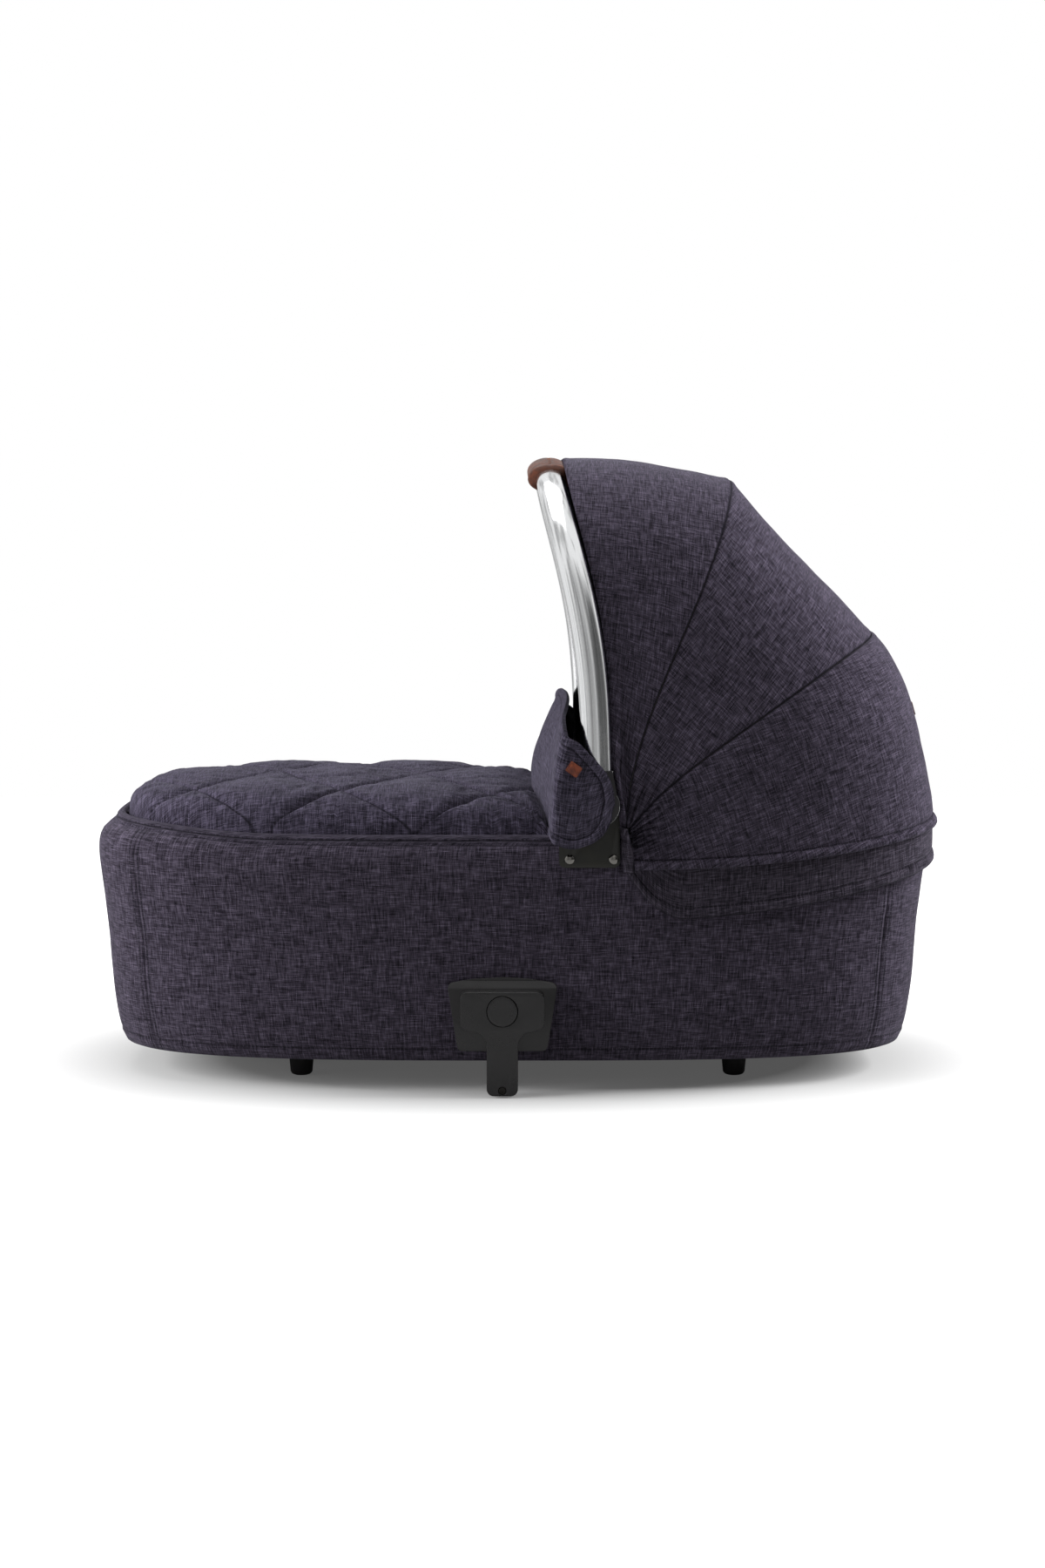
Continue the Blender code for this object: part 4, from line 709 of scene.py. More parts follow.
# Painted shade: the skirt darkens along its lower edge and its ends, for the shadow under its hem.
skirt_cloth = melange("melange_skirt_cloth", "#0f0d13", "#625b69", rows=(skirt_hem,), seam_shade=0.7)
low_line = lower_edge(skirt_low, skirt_rise, 0.0, skirt_end, skirt_front)
high = numpy.concatenate([stations[:-1], stations[::-1]])
grid = []
for step in 1 - numpy.linspace(1, 0, 26) ** 1.3:
    row = []
    for j, edge in enumerate(low_line):
        way = -1 if j < len(stations) - 1 else 1
        share = arch(high[j])[1]
        half = half_width + skirt_clear + skirt_flare * max(0.0, 1 - share * 6)
        bottom = edge.z + (skirt_top - edge.z) * 0.75 * max(0.0, 1 - share * 5) ** 2
        row.append((edge.x, way * half * end_width(edge.x, skirt_end), bottom + (skirt_top - bottom) * step))
    grid.append(row)
grid = numpy.array(grid)
run = lengths(grid[-1:], 1)[0]
from_low = lengths(grid, 0)
away = numpy.minimum(from_low, numpy.minimum(run, run[-1] - run))
lift = waves(grid, 0.060, 0.0016, 31.0) * ramp(away, 0.02)
lift += 0.0026 * ramp(skirt_hem - away, skirt_hem) ** 0.6
lift += ridge(away, 0, 0.0016, -0.0020) + ridge(away, skirt_hem, 0.0013, -0.0011)
grid += outward_of(grid) * lift[..., None]
run_at = numpy.broadcast_to(run, away.shape)
weave, stitch = numpy.stack([run_at, from_low], axis=-1), numpy.stack([away, run_at], axis=-1)
skirt = sewn("hood_skirt_cloth", grid, [skirt_cloth, lining], skirt_wall, weave, stitch, offset=0.0)
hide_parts("hood_skirt")
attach(skirt, "tub")
long = float(run[-1])
area = min(sum(face.area for face in skirt.data.polygons) / 2, skirt_width * long)

# The gather: where the gores and the skirt come together, a folded strip of the cloth is sewn over their raw
# ends on each side, bunched into small pleats.

strip_half, strip_crown, strip_slope, pinch_z, strip_wall = 0.0052, 0.0014, 0.25, 0.2640, 0.0010
strip_line = (
    (0.1040, 0.2200, 0.2700),
    (0.1058, 0.2206, 0.2620),
    (0.1078, 0.2198, 0.2480),
    (0.1090, 0.2160, 0.2340),
    (0.1098, 0.2128, 0.2240),
)


def smooth_line(points, count):
    """A smooth line through points, as many as asked."""
    points = numpy.array(points)
    padded = numpy.concatenate([2 * points[:1] - points[1:2], points, 2 * points[-1:] - points[-2:-1]])
    made = []
    for place in numpy.linspace(0, len(points) - 1, count):
        i = min(int(place), len(points) - 2)
        t = place - i
        a, b, c, d = padded[i : i + 4]
        straight = 2 * b + (c - a) * t
        made.append(0.5 * (straight + (2 * a - 5 * b + 4 * c - d) * t**2 + (3 * b - a - 3 * c + d) * t**3))
    return numpy.array(made)


# Painted shade: the strip darkens along both long edges, for the shadow where it tucks against the gores.
gather_cloth = melange("melange_gather_cloth", "#0f0d13", "#625b69", rows=(0.0,), seam_shade=0.6)
for side_name, way in (("right", -1), ("left", 1)):
    grid = []
    for row, (x, y, z) in enumerate(smooth_line(strip_line, 60)):
        pinch = strip_half - ridge(z, pinch_z, 0.010, 0.0016)
        row_points = []
        for across in numpy.linspace(-1, 1, 25):
            crimp = math.sin(5 * across + 0.35 * row) * ridge(z, pinch_z, 0.016, 0.0006)
            out = y + strip_crown * (1 - across**2) ** 0.5 + crimp
            row_points.append((x + across * pinch, way * out, z - strip_slope * across * pinch))
        grid.append(row_points[::way])
    grid = numpy.array(grid)
    across = lengths(grid, 1)
    stitch = numpy.stack([numpy.minimum(across, across[:, -1:] - across), lengths(grid, 0)], axis=-1)
    cloths = [gather_cloth, lining]
    strip = sewn(f"gather_strip_{side_name}", grid, cloths, strip_wall, None, stitch, offset=0.0)
    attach(strip, "tub")

# The wind flap: a padded collar sewn across the apron's head edge and folded up, with a rounded tab at each
# side that buttons over the hinge. Its edge is bound and topstitched, and it is lined in black.

tab_face, flap_thickness, tab_length, tab_height, flap_top = 0.2303, 0.0040, 0.0575, 0.1090, 0.3843
flap_wall, flap_seat, flap_lean, flap_hem, tab_seat = 0.0036, 0.0023, 0.0360, 0.0088, 0.0003
flap_shares = (0.0, 0.25, 0.48, 0.68, 0.85, 0.985)
tab_shares = (
    (0.90, 0.02, 0.10, 0.24, 1.11),
    (0.97, 0.04, 0.07, 0.25, 1.07),
    (1.00, 0.09, 0.04, 0.30, 1.01),
    (1.00, 0.24, 0.01, 0.50, 0.95),
    (1.00, 0.42, 0.00, 0.66, 0.86),
    (1.00, 0.58, 0.02, 0.84, 0.76),
    (1.00, 0.76, 0.06, 0.98, 0.66),
    (1.00, 0.92, 0.14, 1.06, 0.54),
    (1.00, 1.04, 0.26, 1.09, 0.40),
)
# Painted shade: the flap darkens close along its bound rim, for the shadow at its edge.
flap_cloth = melange("melange_flap_cloth", "#100e15", "#666073", rows=(flap_hem,), seam_shade=0.45, sheen=0.16)
low, top = [], []
for share in flap_shares:
    seat = apron_base + apron_height(apron_head, share, share)
    low.append((apron_head + apron_sweep * share**2 + flap_seat, apron_half * share, seat - 0.001))
    lean = flap_seat + flap_lean * (1 - 0.20 * share**2)
    top.append((apron_head + lean, apron_half * share, flap_top - 0.0082 * share**3))
front = apron_head + apron_sweep - tab_seat
for out, x_low, z_low, x_top, z_top in tab_shares:
    y = (tab_face + flap_thickness / 2) * out
    low.append((front + tab_length * x_low, y, apron_base + tab_height * z_low))
    top.append((front + tab_length * x_top, y, apron_base + tab_height * z_top))
low, top = smooth_line(low, 90), smooth_line(top, 90)
low = numpy.concatenate([low[::-1], low[1:] * (1, -1, 1)])
top = numpy.concatenate([top[::-1], top[1:] * (1, -1, 1)])
grid = []
for up in (1 - numpy.cos(numpy.linspace(0, math.pi, 36))) / 2:
    row = low + (top - low) * up
    row[:, 0] = low[:, 0] + (top[:, 0] - low[:, 0]) * up**2
    grid.append(row)
grid = numpy.array(grid)
tab = numpy.abs(low[:, 1]) > 0.2
rim = numpy.concatenate([top, low[tab], grid[:, 0], grid[:, -1]])
away = numpy.sqrt(((grid[:, :, None, :] - rim[None, None, :, :]) ** 2).sum(axis=-1)).min(axis=-1)
lift = (waves(grid, 0.045, 0.0016, 41.0) + 0.0008) * ramp(away, 0.02)
lift += 0.0010 * ramp(flap_hem - away, flap_hem) ** 0.5
lift += ridge(away, flap_hem, 0.0014, -0.0014) + ridge(away, 0, 0.0022, -0.0016)
grid += outward_of(grid) * lift[..., None]
run_at = numpy.broadcast_to(lengths(grid, 1)[18], away.shape)
weave, stitch = numpy.stack([run_at, lengths(grid, 0)], axis=-1), numpy.stack([away, run_at], axis=-1)
flap = sewn("wind_flap_cloth", grid, [flap_cloth, lining], flap_wall, weave, stitch, offset=0.0)
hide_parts("wind_flap")
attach(flap, "tub")

# The maker's tags: a loop of brown cowhide, left blank, sewn slantwise on the flap's near tab and a longer
# one on the hood's back. The hide is pebbled, patchy in its colour and paler where it is rubbed.

tag_corner, tag_edge, tag_clear = 0.0012, 0.00025, 0.0001
tag_rim, tag_groove, groove_sink, stitch_in, stitch_radius = 0.0007, 0.0004, 0.00018, 0.0013, 0.00035


def cowhide(name, dark, pale):
    """Waxed full-grain leather: soft satin gloss, patchy colour and paler rubbed spots. Its pebbles are 1.1
    mm across, coarser than the real ones, so that they show."""
    pebble, fold, patch = 0.0011, 0.0060, 0.0200
    hide, tree, shader = new_material(name)
    place = add_node(tree, "TexCoord").outputs["Object"]
    pebbles = add_node(tree, "TexVoronoi", {"Vector": place, "Scale": 1 / pebble}, feature="DISTANCE_TO_EDGE")
    folds = add_node(tree, "TexNoise", {"Vector": place, "Scale": 1 / fold, "Detail": 5.0})
    patches = add_node(tree, "TexNoise", {"Vector": place, "Scale": 1 / patch, "Detail": 3.0})
    tone = add_node(tree, "Math", {0: folds, 1: patches}, operation="ADD")
    tone = add_node(tree, "MapRange", {"Value": tone, "From Min": 0.75, "From Max": 1.25})
    colours = {"Factor": tone, "A": linear(dark), "B": linear(pale)}
    colour = add_node(tree, "Mix", colours, data_type="RGBA").outputs["Result"]
    limits = {"From Min": 0.3, "From Max": 0.7, "To Min": 0.38, "To Max": 0.56}
    rough = add_node(tree, "MapRange", {"Value": folds, **limits})
    grain = add_node(tree, "MapRange", {"Value": pebbles, "From Max": 0.12})
    grain = add_node(tree, "Math", {0: folds, 1: 0.6, 2: grain}, operation="MULTIPLY_ADD")
    bump = add_node(tree, "Bump", {"Height": grain, "Strength": 0.35, "Distance": 0.0002})
    feed(tree, shader, {"Base Color": colour, "Roughness": rough, "Normal": bump})
    return hide


def choose(made, test, kind="FACE"):
    """Selects, in edit mode, the faces or edges whose middle, and normal or direction, pass a test."""
    bpy.ops.object.mode_set(mode="EDIT")
    bpy.ops.mesh.select_mode(type=kind)
    bpy.ops.mesh.select_all(action="DESELECT")
    work = bmesh.from_edit_mesh(made.data)
    if kind == "FACE":
        for face in work.faces:
            face.select_set(test(face.calc_center_median(), face.normal))
    else:
        for edge in work.edges:
            a, b = edge.verts
            edge.select_set(test((a.co + b.co) / 2, (b.co - a.co).normalized()))
    bmesh.update_edit_mesh(made.data)


def rounded(made, width, segments=3, angle=None):
    """Rounds a piece's edges, by its modifier."""
    rounding = made.modifiers.new("rounding", "BEVEL")
    rounding.width = width
    rounding.segments = segments
    if angle:
        rounding.angle_limit = math.radians(angle)
    bpy.ops.object.modifier_apply(modifier=rounding.name)


def finished(made, name, material, body, nodes=(), smooth=32):
    """Ends the modelling of a hard piece: out of edit mode, placed in its mesh, smooth and on its body."""
    if made.mode == "EDIT":
        bpy.ops.object.mode_set(mode="OBJECT")
    made.name = name
    made.data.name = name
    bpy.ops.object.transform_apply()
    bpy.ops.object.shade_smooth_by_angle(angle=math.radians(smooth))
    made.data.materials.clear()
    made.data.materials.append(material)
    if nodes:
        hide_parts(*nodes)
    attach(made, body)


def start_piece(kind, **sizes):
    """Adds a primitive with nothing else selected."""
    bpy.ops.object.select_all(action="DESELECT")
    getattr(bpy.ops.mesh, f"primitive_{kind}_add")(**sizes)
    return bpy.context.object


hide = cowhide("brown_cowhide", "#4a2014", "#8a452c")
thread, tree, shader = new_material("waxed_tan_thread")
twist = add_node(tree, "TexWave", {"Vector": add_node(tree, "TexCoord").outputs["Object"], "Scale": 900.0})
strands = {"Factor": twist.outputs["Fac"], "A": linear("#5a3020"), "B": linear("#8a5233")}
strands = add_node(tree, "Mix", strands, data_type="RGBA").outputs["Result"]
feed(tree, shader, {"Base Color": strands, "Roughness": 0.6})


def tag(name, width, height, thickness, seat, facing, turn, node):
    """A doubled loop of hide on a cloth, square to it, its raw edges rounded, a stitch at each corner."""
    made = start_piece("cube", size=1, scale=(width, height, thickness))
    bpy.ops.object.transform_apply(location=False, rotation=False)
    choose(made, lambda middle, way: abs(way.z) > 0.9, "EDGE")
    bpy.ops.mesh.bevel(offset=tag_corner, segments=4, affect="EDGES")
    choose(made, lambda middle, normal: normal.z > 0.9)
    bpy.ops.mesh.inset(thickness=tag_rim)
    bpy.ops.mesh.inset(thickness=tag_groove, depth=-groove_sink)
    bpy.ops.mesh.inset(thickness=tag_groove, depth=groove_sink)
    bpy.ops.object.mode_set(mode="OBJECT")
    rounded(made, tag_edge)
    made.data.materials.append(hide)
    for x_way, y_way in ((-1, -1), (-1, 1), (1, -1), (1, 1)):
        spot = (x_way * (width / 2 - stitch_in), y_way * (height / 2 - stitch_in), thickness / 2)
        sizes = {"segments": 10, "ring_count": 6, "radius": stitch_radius, "scale": (3.0, 1, 0.8)}
        stitched = start_piece("uv_sphere", location=spot, **sizes)
        stitched.data.materials.append(thread)
        made.select_set(True)
        bpy.context.view_layer.objects.active = made
        bpy.ops.object.join()
    turned = facing.to_track_quat("Z", "X") @ Matrix.Rotation(turn, 3, "Z").to_quaternion()
    made.rotation_euler = turned.to_euler()
    made.location = seat + facing * (thickness / 2 + tag_clear)
    bpy.ops.object.transform_apply()
    bpy.ops.object.shade_smooth_by_angle(angle=math.radians(40))
    made.name = name
    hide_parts(node)
    return made


_, seat, facing, _ = flap.ray_cast(Vector((0.0550, -0.3, 0.3290)), Vector((0, 1, 0)))
flap_tag = tag("flap_hide_tag", 0.0112, 0.0132, 0.0012, seat, facing, math.radians(-35), "flap_label")
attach(flap_tag, "tub")
low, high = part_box("back_label")
_, seat, facing, _ = back_gore.ray_cast(Vector((0.6, 0, (low.z + high.z) / 2)), Vector((-1, 0, 0)))
back_tag = tag("back_hide_tag", 0.0380, 0.0140, 0.0013, seat, facing, math.radians(90), "back_label")
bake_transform(back_tag)

# The handle: one bent oval aluminium tube, polished and clear-lacquered, that carries the carrycot and holds
# the hood's front edge. It is flattened to 30 by 20 mm and goes into a moulded hub at each hinge.

handle_half, tube_depth, tube_stretch = 0.2180, 0.0200, 1.5
hub_neck, hub_clearance, lowest_share = 0.0340, 0.00045, 0.10


def handle_line(first_share, count):
    """The handle's centre line from its near end over the crown to its far end."""
    half = []
    for station in numpy.linspace(0, 1, count):
        out, high = arch(station)
        if high > first_share * 1.2:
            angle = math.radians(numpy.polyval(handle_fit, max(high, lowest_share)))
            half.append(swung(hinge, handle_reach * high, angle, -handle_half * out))
    angle = math.radians(numpy.polyval(handle_fit, first_share))
    foot = swung(hinge, handle_reach * first_share, angle, -handle_half)
    half = [foot, foot.lerp(half[0], 0.5)] + half
    return half + [Vector((point.x, -point.y, point.z)) for point in half[-2::-1]]


def polished(name, code, roughness, line_sizes):
    """Polished metal: a mirror softened by fine polishing lines, with faint cloudy spots that fingers leave.
    line_sizes are how long the lines are along X, Y and Z, and they are coarser than the real ones."""
    cloud = 0.030
    metal, tree, shader = new_material(name)
    place = add_node(tree, "TexCoord").outputs["Object"]
    lines = add_node(tree, "Mapping", {"Vector": place, "Scale": [1 / size for size in line_sizes]})
    lines = add_node(tree, "TexNoise", {"Vector": lines, "Scale": 1.0, "Detail": 3.0})
    spots = add_node(tree, "TexNoise", {"Vector": place, "Scale": 1 / cloud, "Detail": 4.0})
    both = add_node(tree, "Math", {0: lines, 1: spots}, operation="MULTIPLY")
    limits = {"From Min": 0.12, "From Max": 0.40, "To Min": roughness * 0.7, "To Max": roughness * 1.5}
    rough = add_node(tree, "MapRange", {"Value": both, **limits})
    bump = add_node(tree, "Bump", {"Height": lines, "Strength": 0.10, "Distance": 0.0001})
    feed(tree, shader, {"Base Color": linear(code), "Metallic": 1.0, "Roughness": rough, "Normal": bump})
    return metal


lacquered = polished("polished_aluminium_lacquered", "#e4e5e6", 0.13, (0.0006, 0.0006, 0.020))
line = bpy.data.curves.new("handle_line", "CURVE")
line.dimensions = "3D"
line.bevel_depth = tube_depth / 2
line.bevel_resolution = 10
line.use_fill_caps = True
spline = line.splines.new("POLY")
points = handle_line((hub_neck + hub_clearance) / handle_reach, 90)
spline.points.add(len(points) - 1)
for corner, (x, y, z) in zip(spline.points, points):
    corner.co = (x / tube_stretch, y, z, 1)
bar = added("handle_bar", line)
bar.scale.x = tube_stretch
bpy.ops.object.convert(target="MESH")
finished(bar, "handle_bar", lacquered, "handle", ["handle_tube"], 50)

# The grip: a sleeve of the same cowhide round the handle's crown, its ends turned in, closed by a row of
# baseball stitches along the underside.

grip_half, grip_wall, end_round, seam_turn = 0.1050, 0.0045, 0.0035, 1.5 * math.pi
grip_hide = cowhide("grip_cowhide", "#2f170e", "#5f3321")
held = [point for point in handle_line(0.2, 200) if abs(point.y) <= grip_half]
flat = numpy.array([(p.x / tube_stretch, p.y, p.z) for p in held])
along = unit(numpy.gradient(flat, axis=0))
side_way = unit(numpy.array([1.0, 0, 0]) - along[:, :1] * along)
up_way = numpy.cross(along, side_way)
count = len(flat)
end_gap = numpy.minimum(numpy.arange(count), count - 1 - numpy.arange(count)) * (2 * grip_half / count)
radius = tube_depth / 2 + grip_wall * numpy.sqrt(1 - (1 - ramp(end_gap, end_round)) ** 2)
radius += ridge(end_gap, 0.004, 0.002, 0.0004) + ridge(end_gap, 0.0085, 0.0014, -0.0005)
turns = numpy.linspace(0, 2 * math.pi, 49)
grid = numpy.zeros((count, len(turns), 3))
for j, turn in enumerate(turns):
    pinch = ridge((turn - seam_turn) * tube_depth / 2, 0, 0.0008, 0.0006)
    ring = side_way * math.cos(turn) + up_way * math.sin(turn)
    grid[:, j] = flat + ring * (radius - pinch)[:, None]
grid[..., 0] *= tube_stretch
grip = sewn("leather_grip", grid, [grip_hide], 0)
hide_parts("handle_grip")
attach(grip, "handle")
seam = grid[:, round((len(turns) - 1) * seam_turn / (2 * math.pi))]
stitches = []
for place in range(6, count - 6, 3):
    for way in (-1, 1):
        spot = Vector(seam[place]) + Vector((way * 0.0012, 0, 0))
        stitched = start_piece(
            "uv_sphere", segments=8, ring_count=5, radius=0.0004, location=spot, scale=(1, 4.2, 1))
        heading = Vector((way * 0.8, 1.0, 0)).normalized()
        stitched.rotation_euler = heading.to_track_quat("Y", "Z").to_euler()
        stitches.append(stitched)
for stitched in stitches:
    stitched.select_set(True)
bpy.context.view_layer.objects.active = stitches[0]
bpy.ops.object.join()
finished(bpy.context.object, "grip_stitching", thread, "handle", smooth=60)

# The hinge: a glass-filled nylon hub on each end of the handle turns on a steel pin in a pressed plate, with
# a chromed trim ring round the hub and a chromed push button in its middle.

hub_face, hub_thickness, hub_radius, trim_radius, trim_sink = 0.2172, 0.0110, 0.0200, 0.0005, 0.0012
button_radius, button_height, button_proud, button_edge = 0.0120, 0.0048, 0.0013, 0.0009
button_steps, button_back = ((0.0016, 0), (0.0006, -0.0006), (0.0040, 0.0004)), (0.0024, 0.0029)


def moulded(name, code, pale_code, roughness, grain=0.0005, metallic=0.0, specular=0.42):
    """A moulded or coated surface with a spark-eroded grain, which breaks its highlights into a soft satin.
    The grain is coarser than the real one, so that it shows."""
    dust_size = 0.022
    plastic, tree, shader = new_material(name)
    place = add_node(tree, "TexCoord").outputs["Object"]
    pits = add_node(tree, "TexNoise", {"Vector": place, "Scale": 1 / grain, "Detail": 3.0, "Roughness": 0.65})
    dust = add_node(tree, "TexNoise", {"Vector": place, "Scale": 1 / dust_size, "Detail": 4.0})
    tone = add_node(tree, "MapRange", {"Value": dust, "From Min": 0.35, "From Max": 0.75})
    colours = {"Factor": tone, "A": linear(code), "B": linear(pale_code)}
    colour = add_node(tree, "Mix", colours, data_type="RGBA").outputs["Result"]
    limits = {"From Min": 0.3, "From Max": 0.7, "To Min": roughness * 0.88, "To Max": roughness * 1.12}
    rough = add_node(tree, "MapRange", {"Value": dust, **limits})
    bump = add_node(tree, "Bump", {"Height": pits, "Strength": 0.16, "Distance": 0.0001})
    finish = {"Base Color": colour, "Roughness": rough, "Normal": bump}
    feed(tree, shader, {**finish, "Metallic": metallic, "Specular IOR Level": specular})
    return plastic


def eased(node, name, width, material, segments=3, smooth=32):
    """A node's form as the real pressing or moulding has it, with every edge rounded."""
    carried = frame["nodes"][node]
    made = added(name, carried.data.copy())
    bpy.ops.object.mode_set(mode="EDIT")
    bpy.ops.mesh.select_all(action="SELECT")
    bpy.ops.mesh.remove_doubles(threshold=0.00001)
    bpy.ops.mesh.dissolve_limited(angle_limit=math.radians(1))
    bpy.ops.object.mode_set(mode="OBJECT")
    rounded(made, width, segments, 36)
    finished(made, name, material, carried["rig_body"], [node], smooth)


def facing_side(made, way):
    """Chooses the flat faces that look out to a side, or in if way is turned round."""
    choose(made, lambda middle, normal: normal.y * way > 0.99)


def turned_piece(centre, way, radius, depth, sides, edge, edge_steps, steps):
    """A round piece that looks out to a side: its front edge is eased, and its face is stepped by insets,
    each a width and a height."""
    around = (math.radians(-90 * way), 0, 0)
    made = start_piece(
        "cylinder", vertices=sides, radius=radius, depth=depth, location=centre, rotation=around)
    bpy.ops.object.transform_apply()
    facing_side(made, way)
    bpy.ops.mesh.bevel(offset=edge, segments=edge_steps, affect="EDGES")
    facing_side(made, way)
    for width, height in steps:
        bpy.ops.mesh.inset(thickness=width, depth=height)
    return made


def sunk(rim, depth):
    """Moves the middle of the chosen face along Y, inside a rim."""
    bpy.ops.mesh.inset(thickness=rim)
    bpy.ops.mesh.extrude_region_move(TRANSFORM_OT_translate={"value": (0, depth, 0)})


nylon = moulded("black_glass_filled_nylon", "#1c1b1d", "#252327", 0.45)
chromed = polished("chrome_plate", "#b9babb", 0.06, (0.004, 0.004, 0.004))
for side_name, way in (("right", -1), ("left", 1)):
    eased(f"handle_hub_{side_name}", f"hinge_hub_{side_name}", 0.0012, nylon)
    centre = (hinge.x, way * (hub_face + hub_thickness - trim_sink), hinge.z)
    sizes = {"major_radius": hub_radius - 0.0002, "minor_radius": trim_radius}
    counts = {"major_segments": 96, "minor_segments": 12}
    trim = start_piece("torus", location=centre, rotation=(math.radians(90), 0, 0), **sizes, **counts)
    finished(trim, f"hub_trim_ring_{side_name}", chromed, "handle", smooth=60)
    centre = (hinge.x, way * (hub_face + hub_thickness + button_proud - button_height / 2), hinge.z)
    cap = turned_piece(centre, way, button_radius, button_height, 64, button_edge, 4, button_steps)
    facing_side(cap, -way)
    sunk(button_back[0], way * button_back[1])
    node = f"hinge_button_{side_name}"
    finished(cap, f"hinge_push_button_{side_name}", chromed, node, [node], 40)

# The plate under each hinge: deep-drawn steel, powder coated in a dark olive grey, with two polished dome
# rivets through the cover and the tub's wall.

plate_face, plate_thickness = 0.2073, 0.0030
rivet_z, rivet_places = 0.2372, (("front", 0.05147), ("rear", 0.09487))
rivet_radius, rivet_height, rivet_clearance, shank_length = 0.0050, 0.0022, 0.0003, 0.0060
coated = moulded("olive_powder_coat", "#1b1b18", "#24241e", 0.42, 0.0008, 0.35, 0.5)
rivet_steel = polished("polished_rivet_steel", "#787672", 0.14, (0.003, 0.003, 0.003))
for side_name, way in (("right", -1), ("left", 1)):
    eased(f"hinge_plate_{side_name}", f"hinge_carrier_plate_{side_name}", 0.0013, coated)
    base_y = way * (plate_face + plate_thickness + rivet_clearance)
    for rivet_name, x in rivet_places:
        dome = start_piece(
            "uv_sphere", segments=32, ring_count=16, radius=rivet_radius, location=(x, base_y, rivet_z),
            rotation=(math.radians(90), 0, 0), scale=(1, 1, rivet_height / rivet_radius))
        bpy.ops.object.transform_apply()
        bpy.ops.object.mode_set(mode="EDIT")
        bpy.ops.mesh.select_all(action="SELECT")
        bpy.ops.mesh.bisect(plane_co=(0, base_y, 0), plane_no=(0, way, 0), clear_inner=True, use_fill=True)
        facing_side(dome, -way)
        sunk(rivet_radius * 0.5, -way * shank_length)
        node = f"{rivet_name}_rivet_{side_name}"
        finished(dome, f"{rivet_name}_dome_rivet_{side_name}", rivet_steel, "tub", [node], 50)

# The pins, coil springs, latches and bows inside: zinc-plated turned pins, latches and springs, and flat
# bows of dark sprung steel strip.


def recoated(node, material):
    """A CAD node that keeps its shape and gets the real piece's finish."""
    node.data.materials.clear()
    node.data.materials.append(material)


zinc = polished("zinc_plated_steel", "#a9a8a3", 0.30, (0.002, 0.002, 0.002))
spring_steel = polished("spring_steel", "#5b5955", 0.34, (0.0015, 0.0015, 0.0015))
for side_name in ("right", "left"):
    for node in ("hinge_pin", "hinge_spring", "adapter_spring"):
        recoated(frame["nodes"][f"{node}_{side_name}"], zinc)
    eased(f"adapter_latch_{side_name}", f"adapter_latch_bar_{side_name}", 0.0003, zinc)
for node in ("rear_bow", "mid_bow"):
    eased(node, f"{node}_strip", 0.0004, spring_steel, 2)

# The chassis adapters: a moulded base screwed to each side of the tub, and a T-shaped body whose tongue
# drops into the chassis socket, with a round push button that draws a steel latch up.

adapter_x, adapter_face, adapter_thickness, button_z = -0.0150, 0.2033, 0.0165, 0.0870
press_radius, press_depth, press_proud, press_edge = 0.0149, 0.0066, 0.0010, 0.0004
press_steps, press_back_edge, press_back = ((0.0030, 0), (0.0080, -0.0004)), 0.0014, (0.0042, 0.0035)
screw_radius, screw_edge, screw_socket = 0.0036, 0.0005, (0.0012, 0.0011)
oxide = polished("black_oxide_screw_steel", "#2b2a28", 0.34, (0.002, 0.002, 0.002))
abs_black = moulded("black_moulded_abs", "#171617", "#1f1e1f", 0.29, 0.0006)
for side_name, way in (("right", -1), ("left", 1)):
    eased(f"adapter_body_{side_name}", f"adapter_moulding_{side_name}", 0.0026, abs_black, 6)
    eased(f"adapter_base_{side_name}", f"adapter_seat_{side_name}", 0.0016, abs_black, 4)
    centre = (adapter_x, way * (adapter_face + adapter_thickness + press_proud - press_depth / 2), button_z)
    press = turned_piece(centre, way, press_radius, press_depth, 72, press_edge, 3, press_steps)
    facing_side(press, -way)
    bpy.ops.mesh.bevel(offset=press_back_edge, segments=2, affect="EDGES")
    facing_side(press, -way)
    sunk(press_back[0], way * press_back[1])
    node = f"adapter_button_{side_name}"
    finished(press, f"adapter_press_{side_name}", abs_black, node, [node], 40)
    node = f"adapter_screw_{side_name}"
    low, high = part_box(node)
    screw = turned_piece((low + high) / 2, way, screw_radius, high.y - low.y, 40, screw_edge, 3, ())
    sunk(screw_socket[0], -way * screw_socket[1])
    finished(screw, f"adapter_fixing_screw_{side_name}", oxide, "tub", [node], 40)

# The feet: four moulded rubber studs fixed under the tub's shell, tapered, with a rounded tread edge. The
# rubber is matt and slightly dusty.

rubber = moulded("black_rubber_compound", "#161516", "#1e1c1e", 0.78, 0.0012)
for end_name in ("foot", "head"):
    for side_name in ("right", "left"):
        node = f"rubber_foot_{end_name}_{side_name}"
        eased(node, f"stud_{end_name}_{side_name}", 0.0012, rubber, 3, 50)

# The tub's shell: one injection moulding in black polypropylene. It is seen only from below and inside the
# rim, so its CAD form stays.

recoated(frame["nodes"]["tub_shell"], moulded("black_polypropylene", "#1b1a1c", "#242226", 0.55, 0.0012))

# The liner: a soft cotton lining that hangs inside the shell, with a bound top edge under the zip. Its weave
# is the cover's, in a pale grey.

liner_low, liner_top, liner_wall, liner_hem, liner_slack = 0.0378, 0.2450, 0.0013, 0.006, 0.0002
cover_depth, shell_gap, shell_wall, liner_ease = 0.0020, 0.0003, 0.0040, 0.0018
liner_inset = cover_depth + shell_gap + shell_wall + liner_ease
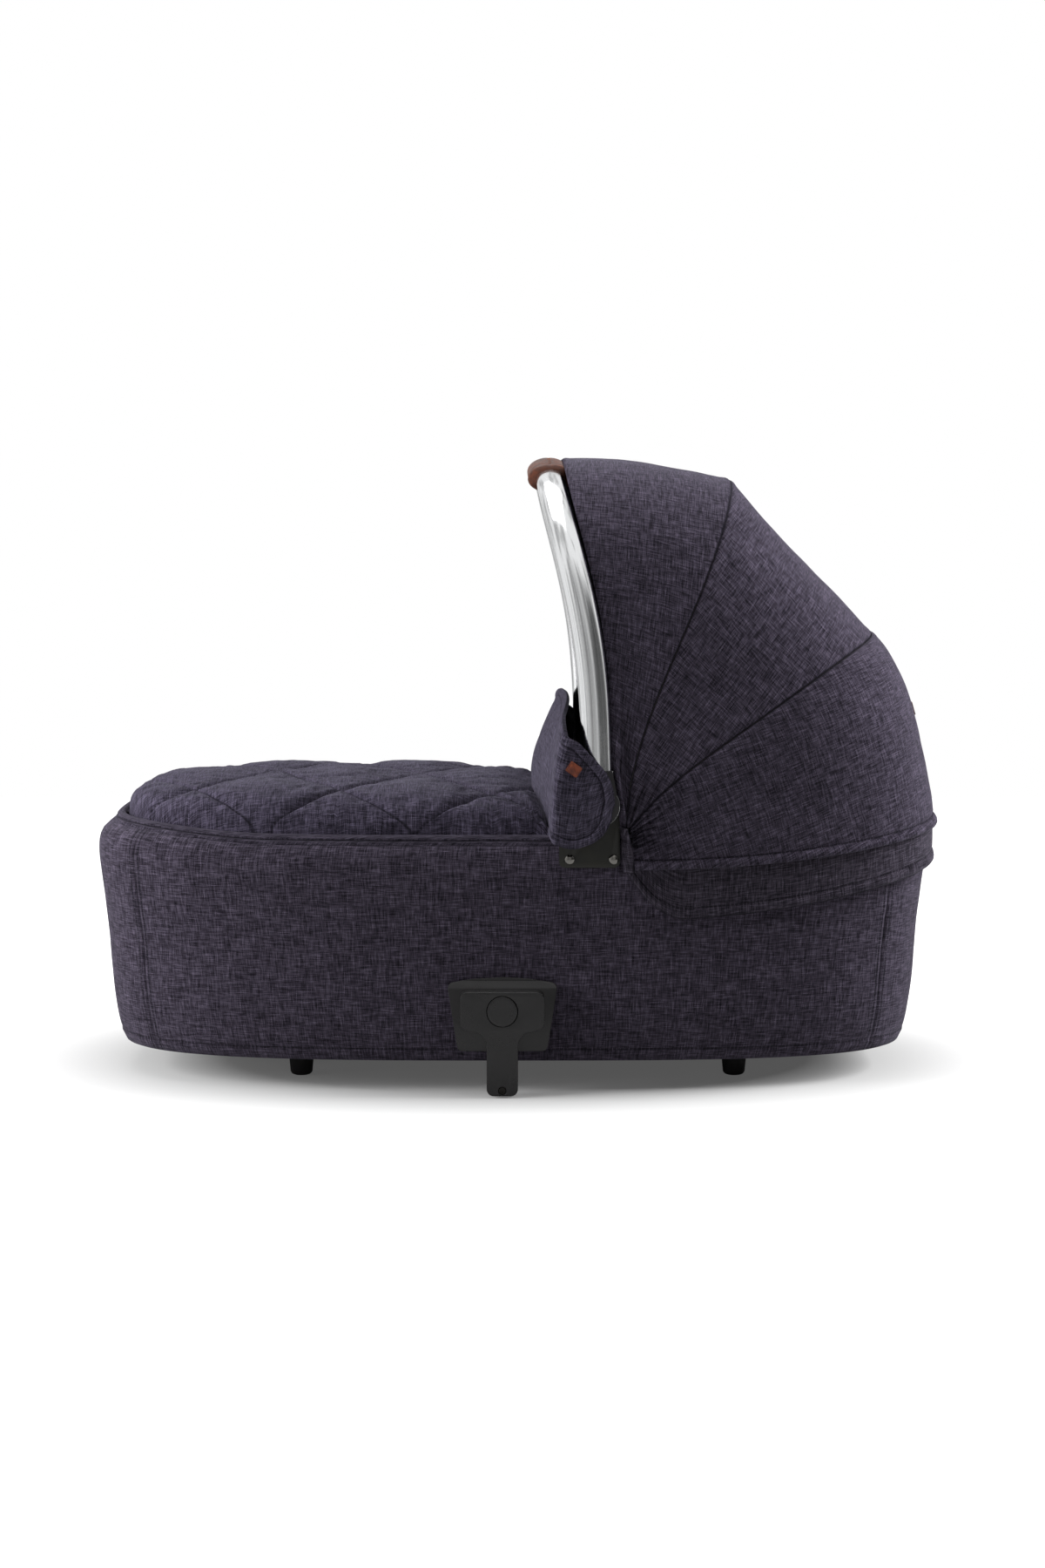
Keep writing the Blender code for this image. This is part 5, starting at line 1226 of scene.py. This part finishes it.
# Painted shade: the liner darkens along its top edge, for the shadow under the zip.
cotton = melange("lining_cotton", "#4c4a50", "#8d8b93", rows=(liner_hem,), seam_shade=0.4, sheen=0.2)
heights = numpy.linspace(liner_low, liner_top, 34)
grid = plan_rows([(height, cover_inset(height) + liner_inset) for height in heights], 241)
swell = waves(grid, 0.060, 0.0012, 51.0) * numpy.sin(numpy.linspace(0, math.pi, len(heights)))[:, None]
grid[..., :2] -= unit(grid[..., :2]) * (numpy.abs(swell) + liner_slack)[..., None]
down = lengths(grid, 0)
from_top = down[-1:] - down
run_at = numpy.broadcast_to(lengths(grid[20:21], 1), from_top.shape)
weave, stitch = numpy.stack([run_at, -from_top], axis=-1), numpy.stack([from_top, run_at], axis=-1)
inner = sewn("tub_liner_cloth", grid, [cotton], liner_wall, weave, stitch)
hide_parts("liner")
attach(inner, "tub")

# The mattress: a foam pad in a white-flecked jersey cover, with a rounded edge and shallow channels quilted
# across it every 70 mm.

channel_pitch, channel_width, channel_sink, pad_swell, pad_settle = 0.070, 0.0055, 0.0042, 0.0018, 0.0012
# Painted shade: the jersey darkens in each quilted channel, for the shadow in it; the channels are also sunk
# in the mesh.
jersey = melange("mattress_jersey", "#77757c", "#b5b3ba", rows=(0.0,), seam_shade=0.45, sheen=0.2)
low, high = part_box("mattress")
middle, half = (low + high) / 2, (high - low) / 2
profile_shares = [(0.0, 0.0), (0.5, 0.0), (0.93, 0.0)]
for t in numpy.linspace(0.15, math.pi / 2, 9):
    profile_shares.append((0.93 + 0.07 * math.sin(t), 0.5 - 0.5 * math.cos(t)))
for t in numpy.linspace(0.12, math.pi / 2, 9):
    profile_shares.append((0.93 + 0.07 * math.cos(t), 0.5 + 0.36 * math.sin(t)))
for share in numpy.linspace(0.91, 0.0, 46):
    profile_shares.append((share, 0.86 + 0.14 * (1 - (share / 0.93) ** 3)))
grid = []
for reach_share, rise_share in profile_shares:
    row = []
    for share in numpy.linspace(0, 1, 181):
        c, s, out = superellipse(2 * math.pi * share, plan_power)
        out *= max(reach_share, 0.0005)
        height = low.z + 2 * half.z * rise_share
        row.append((middle.x + half.x * out * c, middle.y + half.y * out * s, height))
    grid.append(row)
grid = numpy.array(grid)[:, ::-1]
channel = numpy.abs((grid[..., 0] / channel_pitch + 0.5) % 1 - 0.5) * channel_pitch
top_share = numpy.clip((grid[..., 2] - middle.z) / half.z, 0, 1)
grid[..., 2] += ridge(channel, 0, channel_width, -channel_sink) * top_share**2
grid[..., 2] += waves(grid, 0.05, pad_swell, 61.0) * top_share - pad_settle * top_share
stitch = numpy.stack([numpy.where(top_share > 0.6, channel, 1.0), grid[..., 1]], axis=-1)
pad = sewn("foam_mattress", grid[::-1], [jersey], 0, grid[::-1, :, :2], stitch[::-1])
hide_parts("mattress")
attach(pad, "tub")
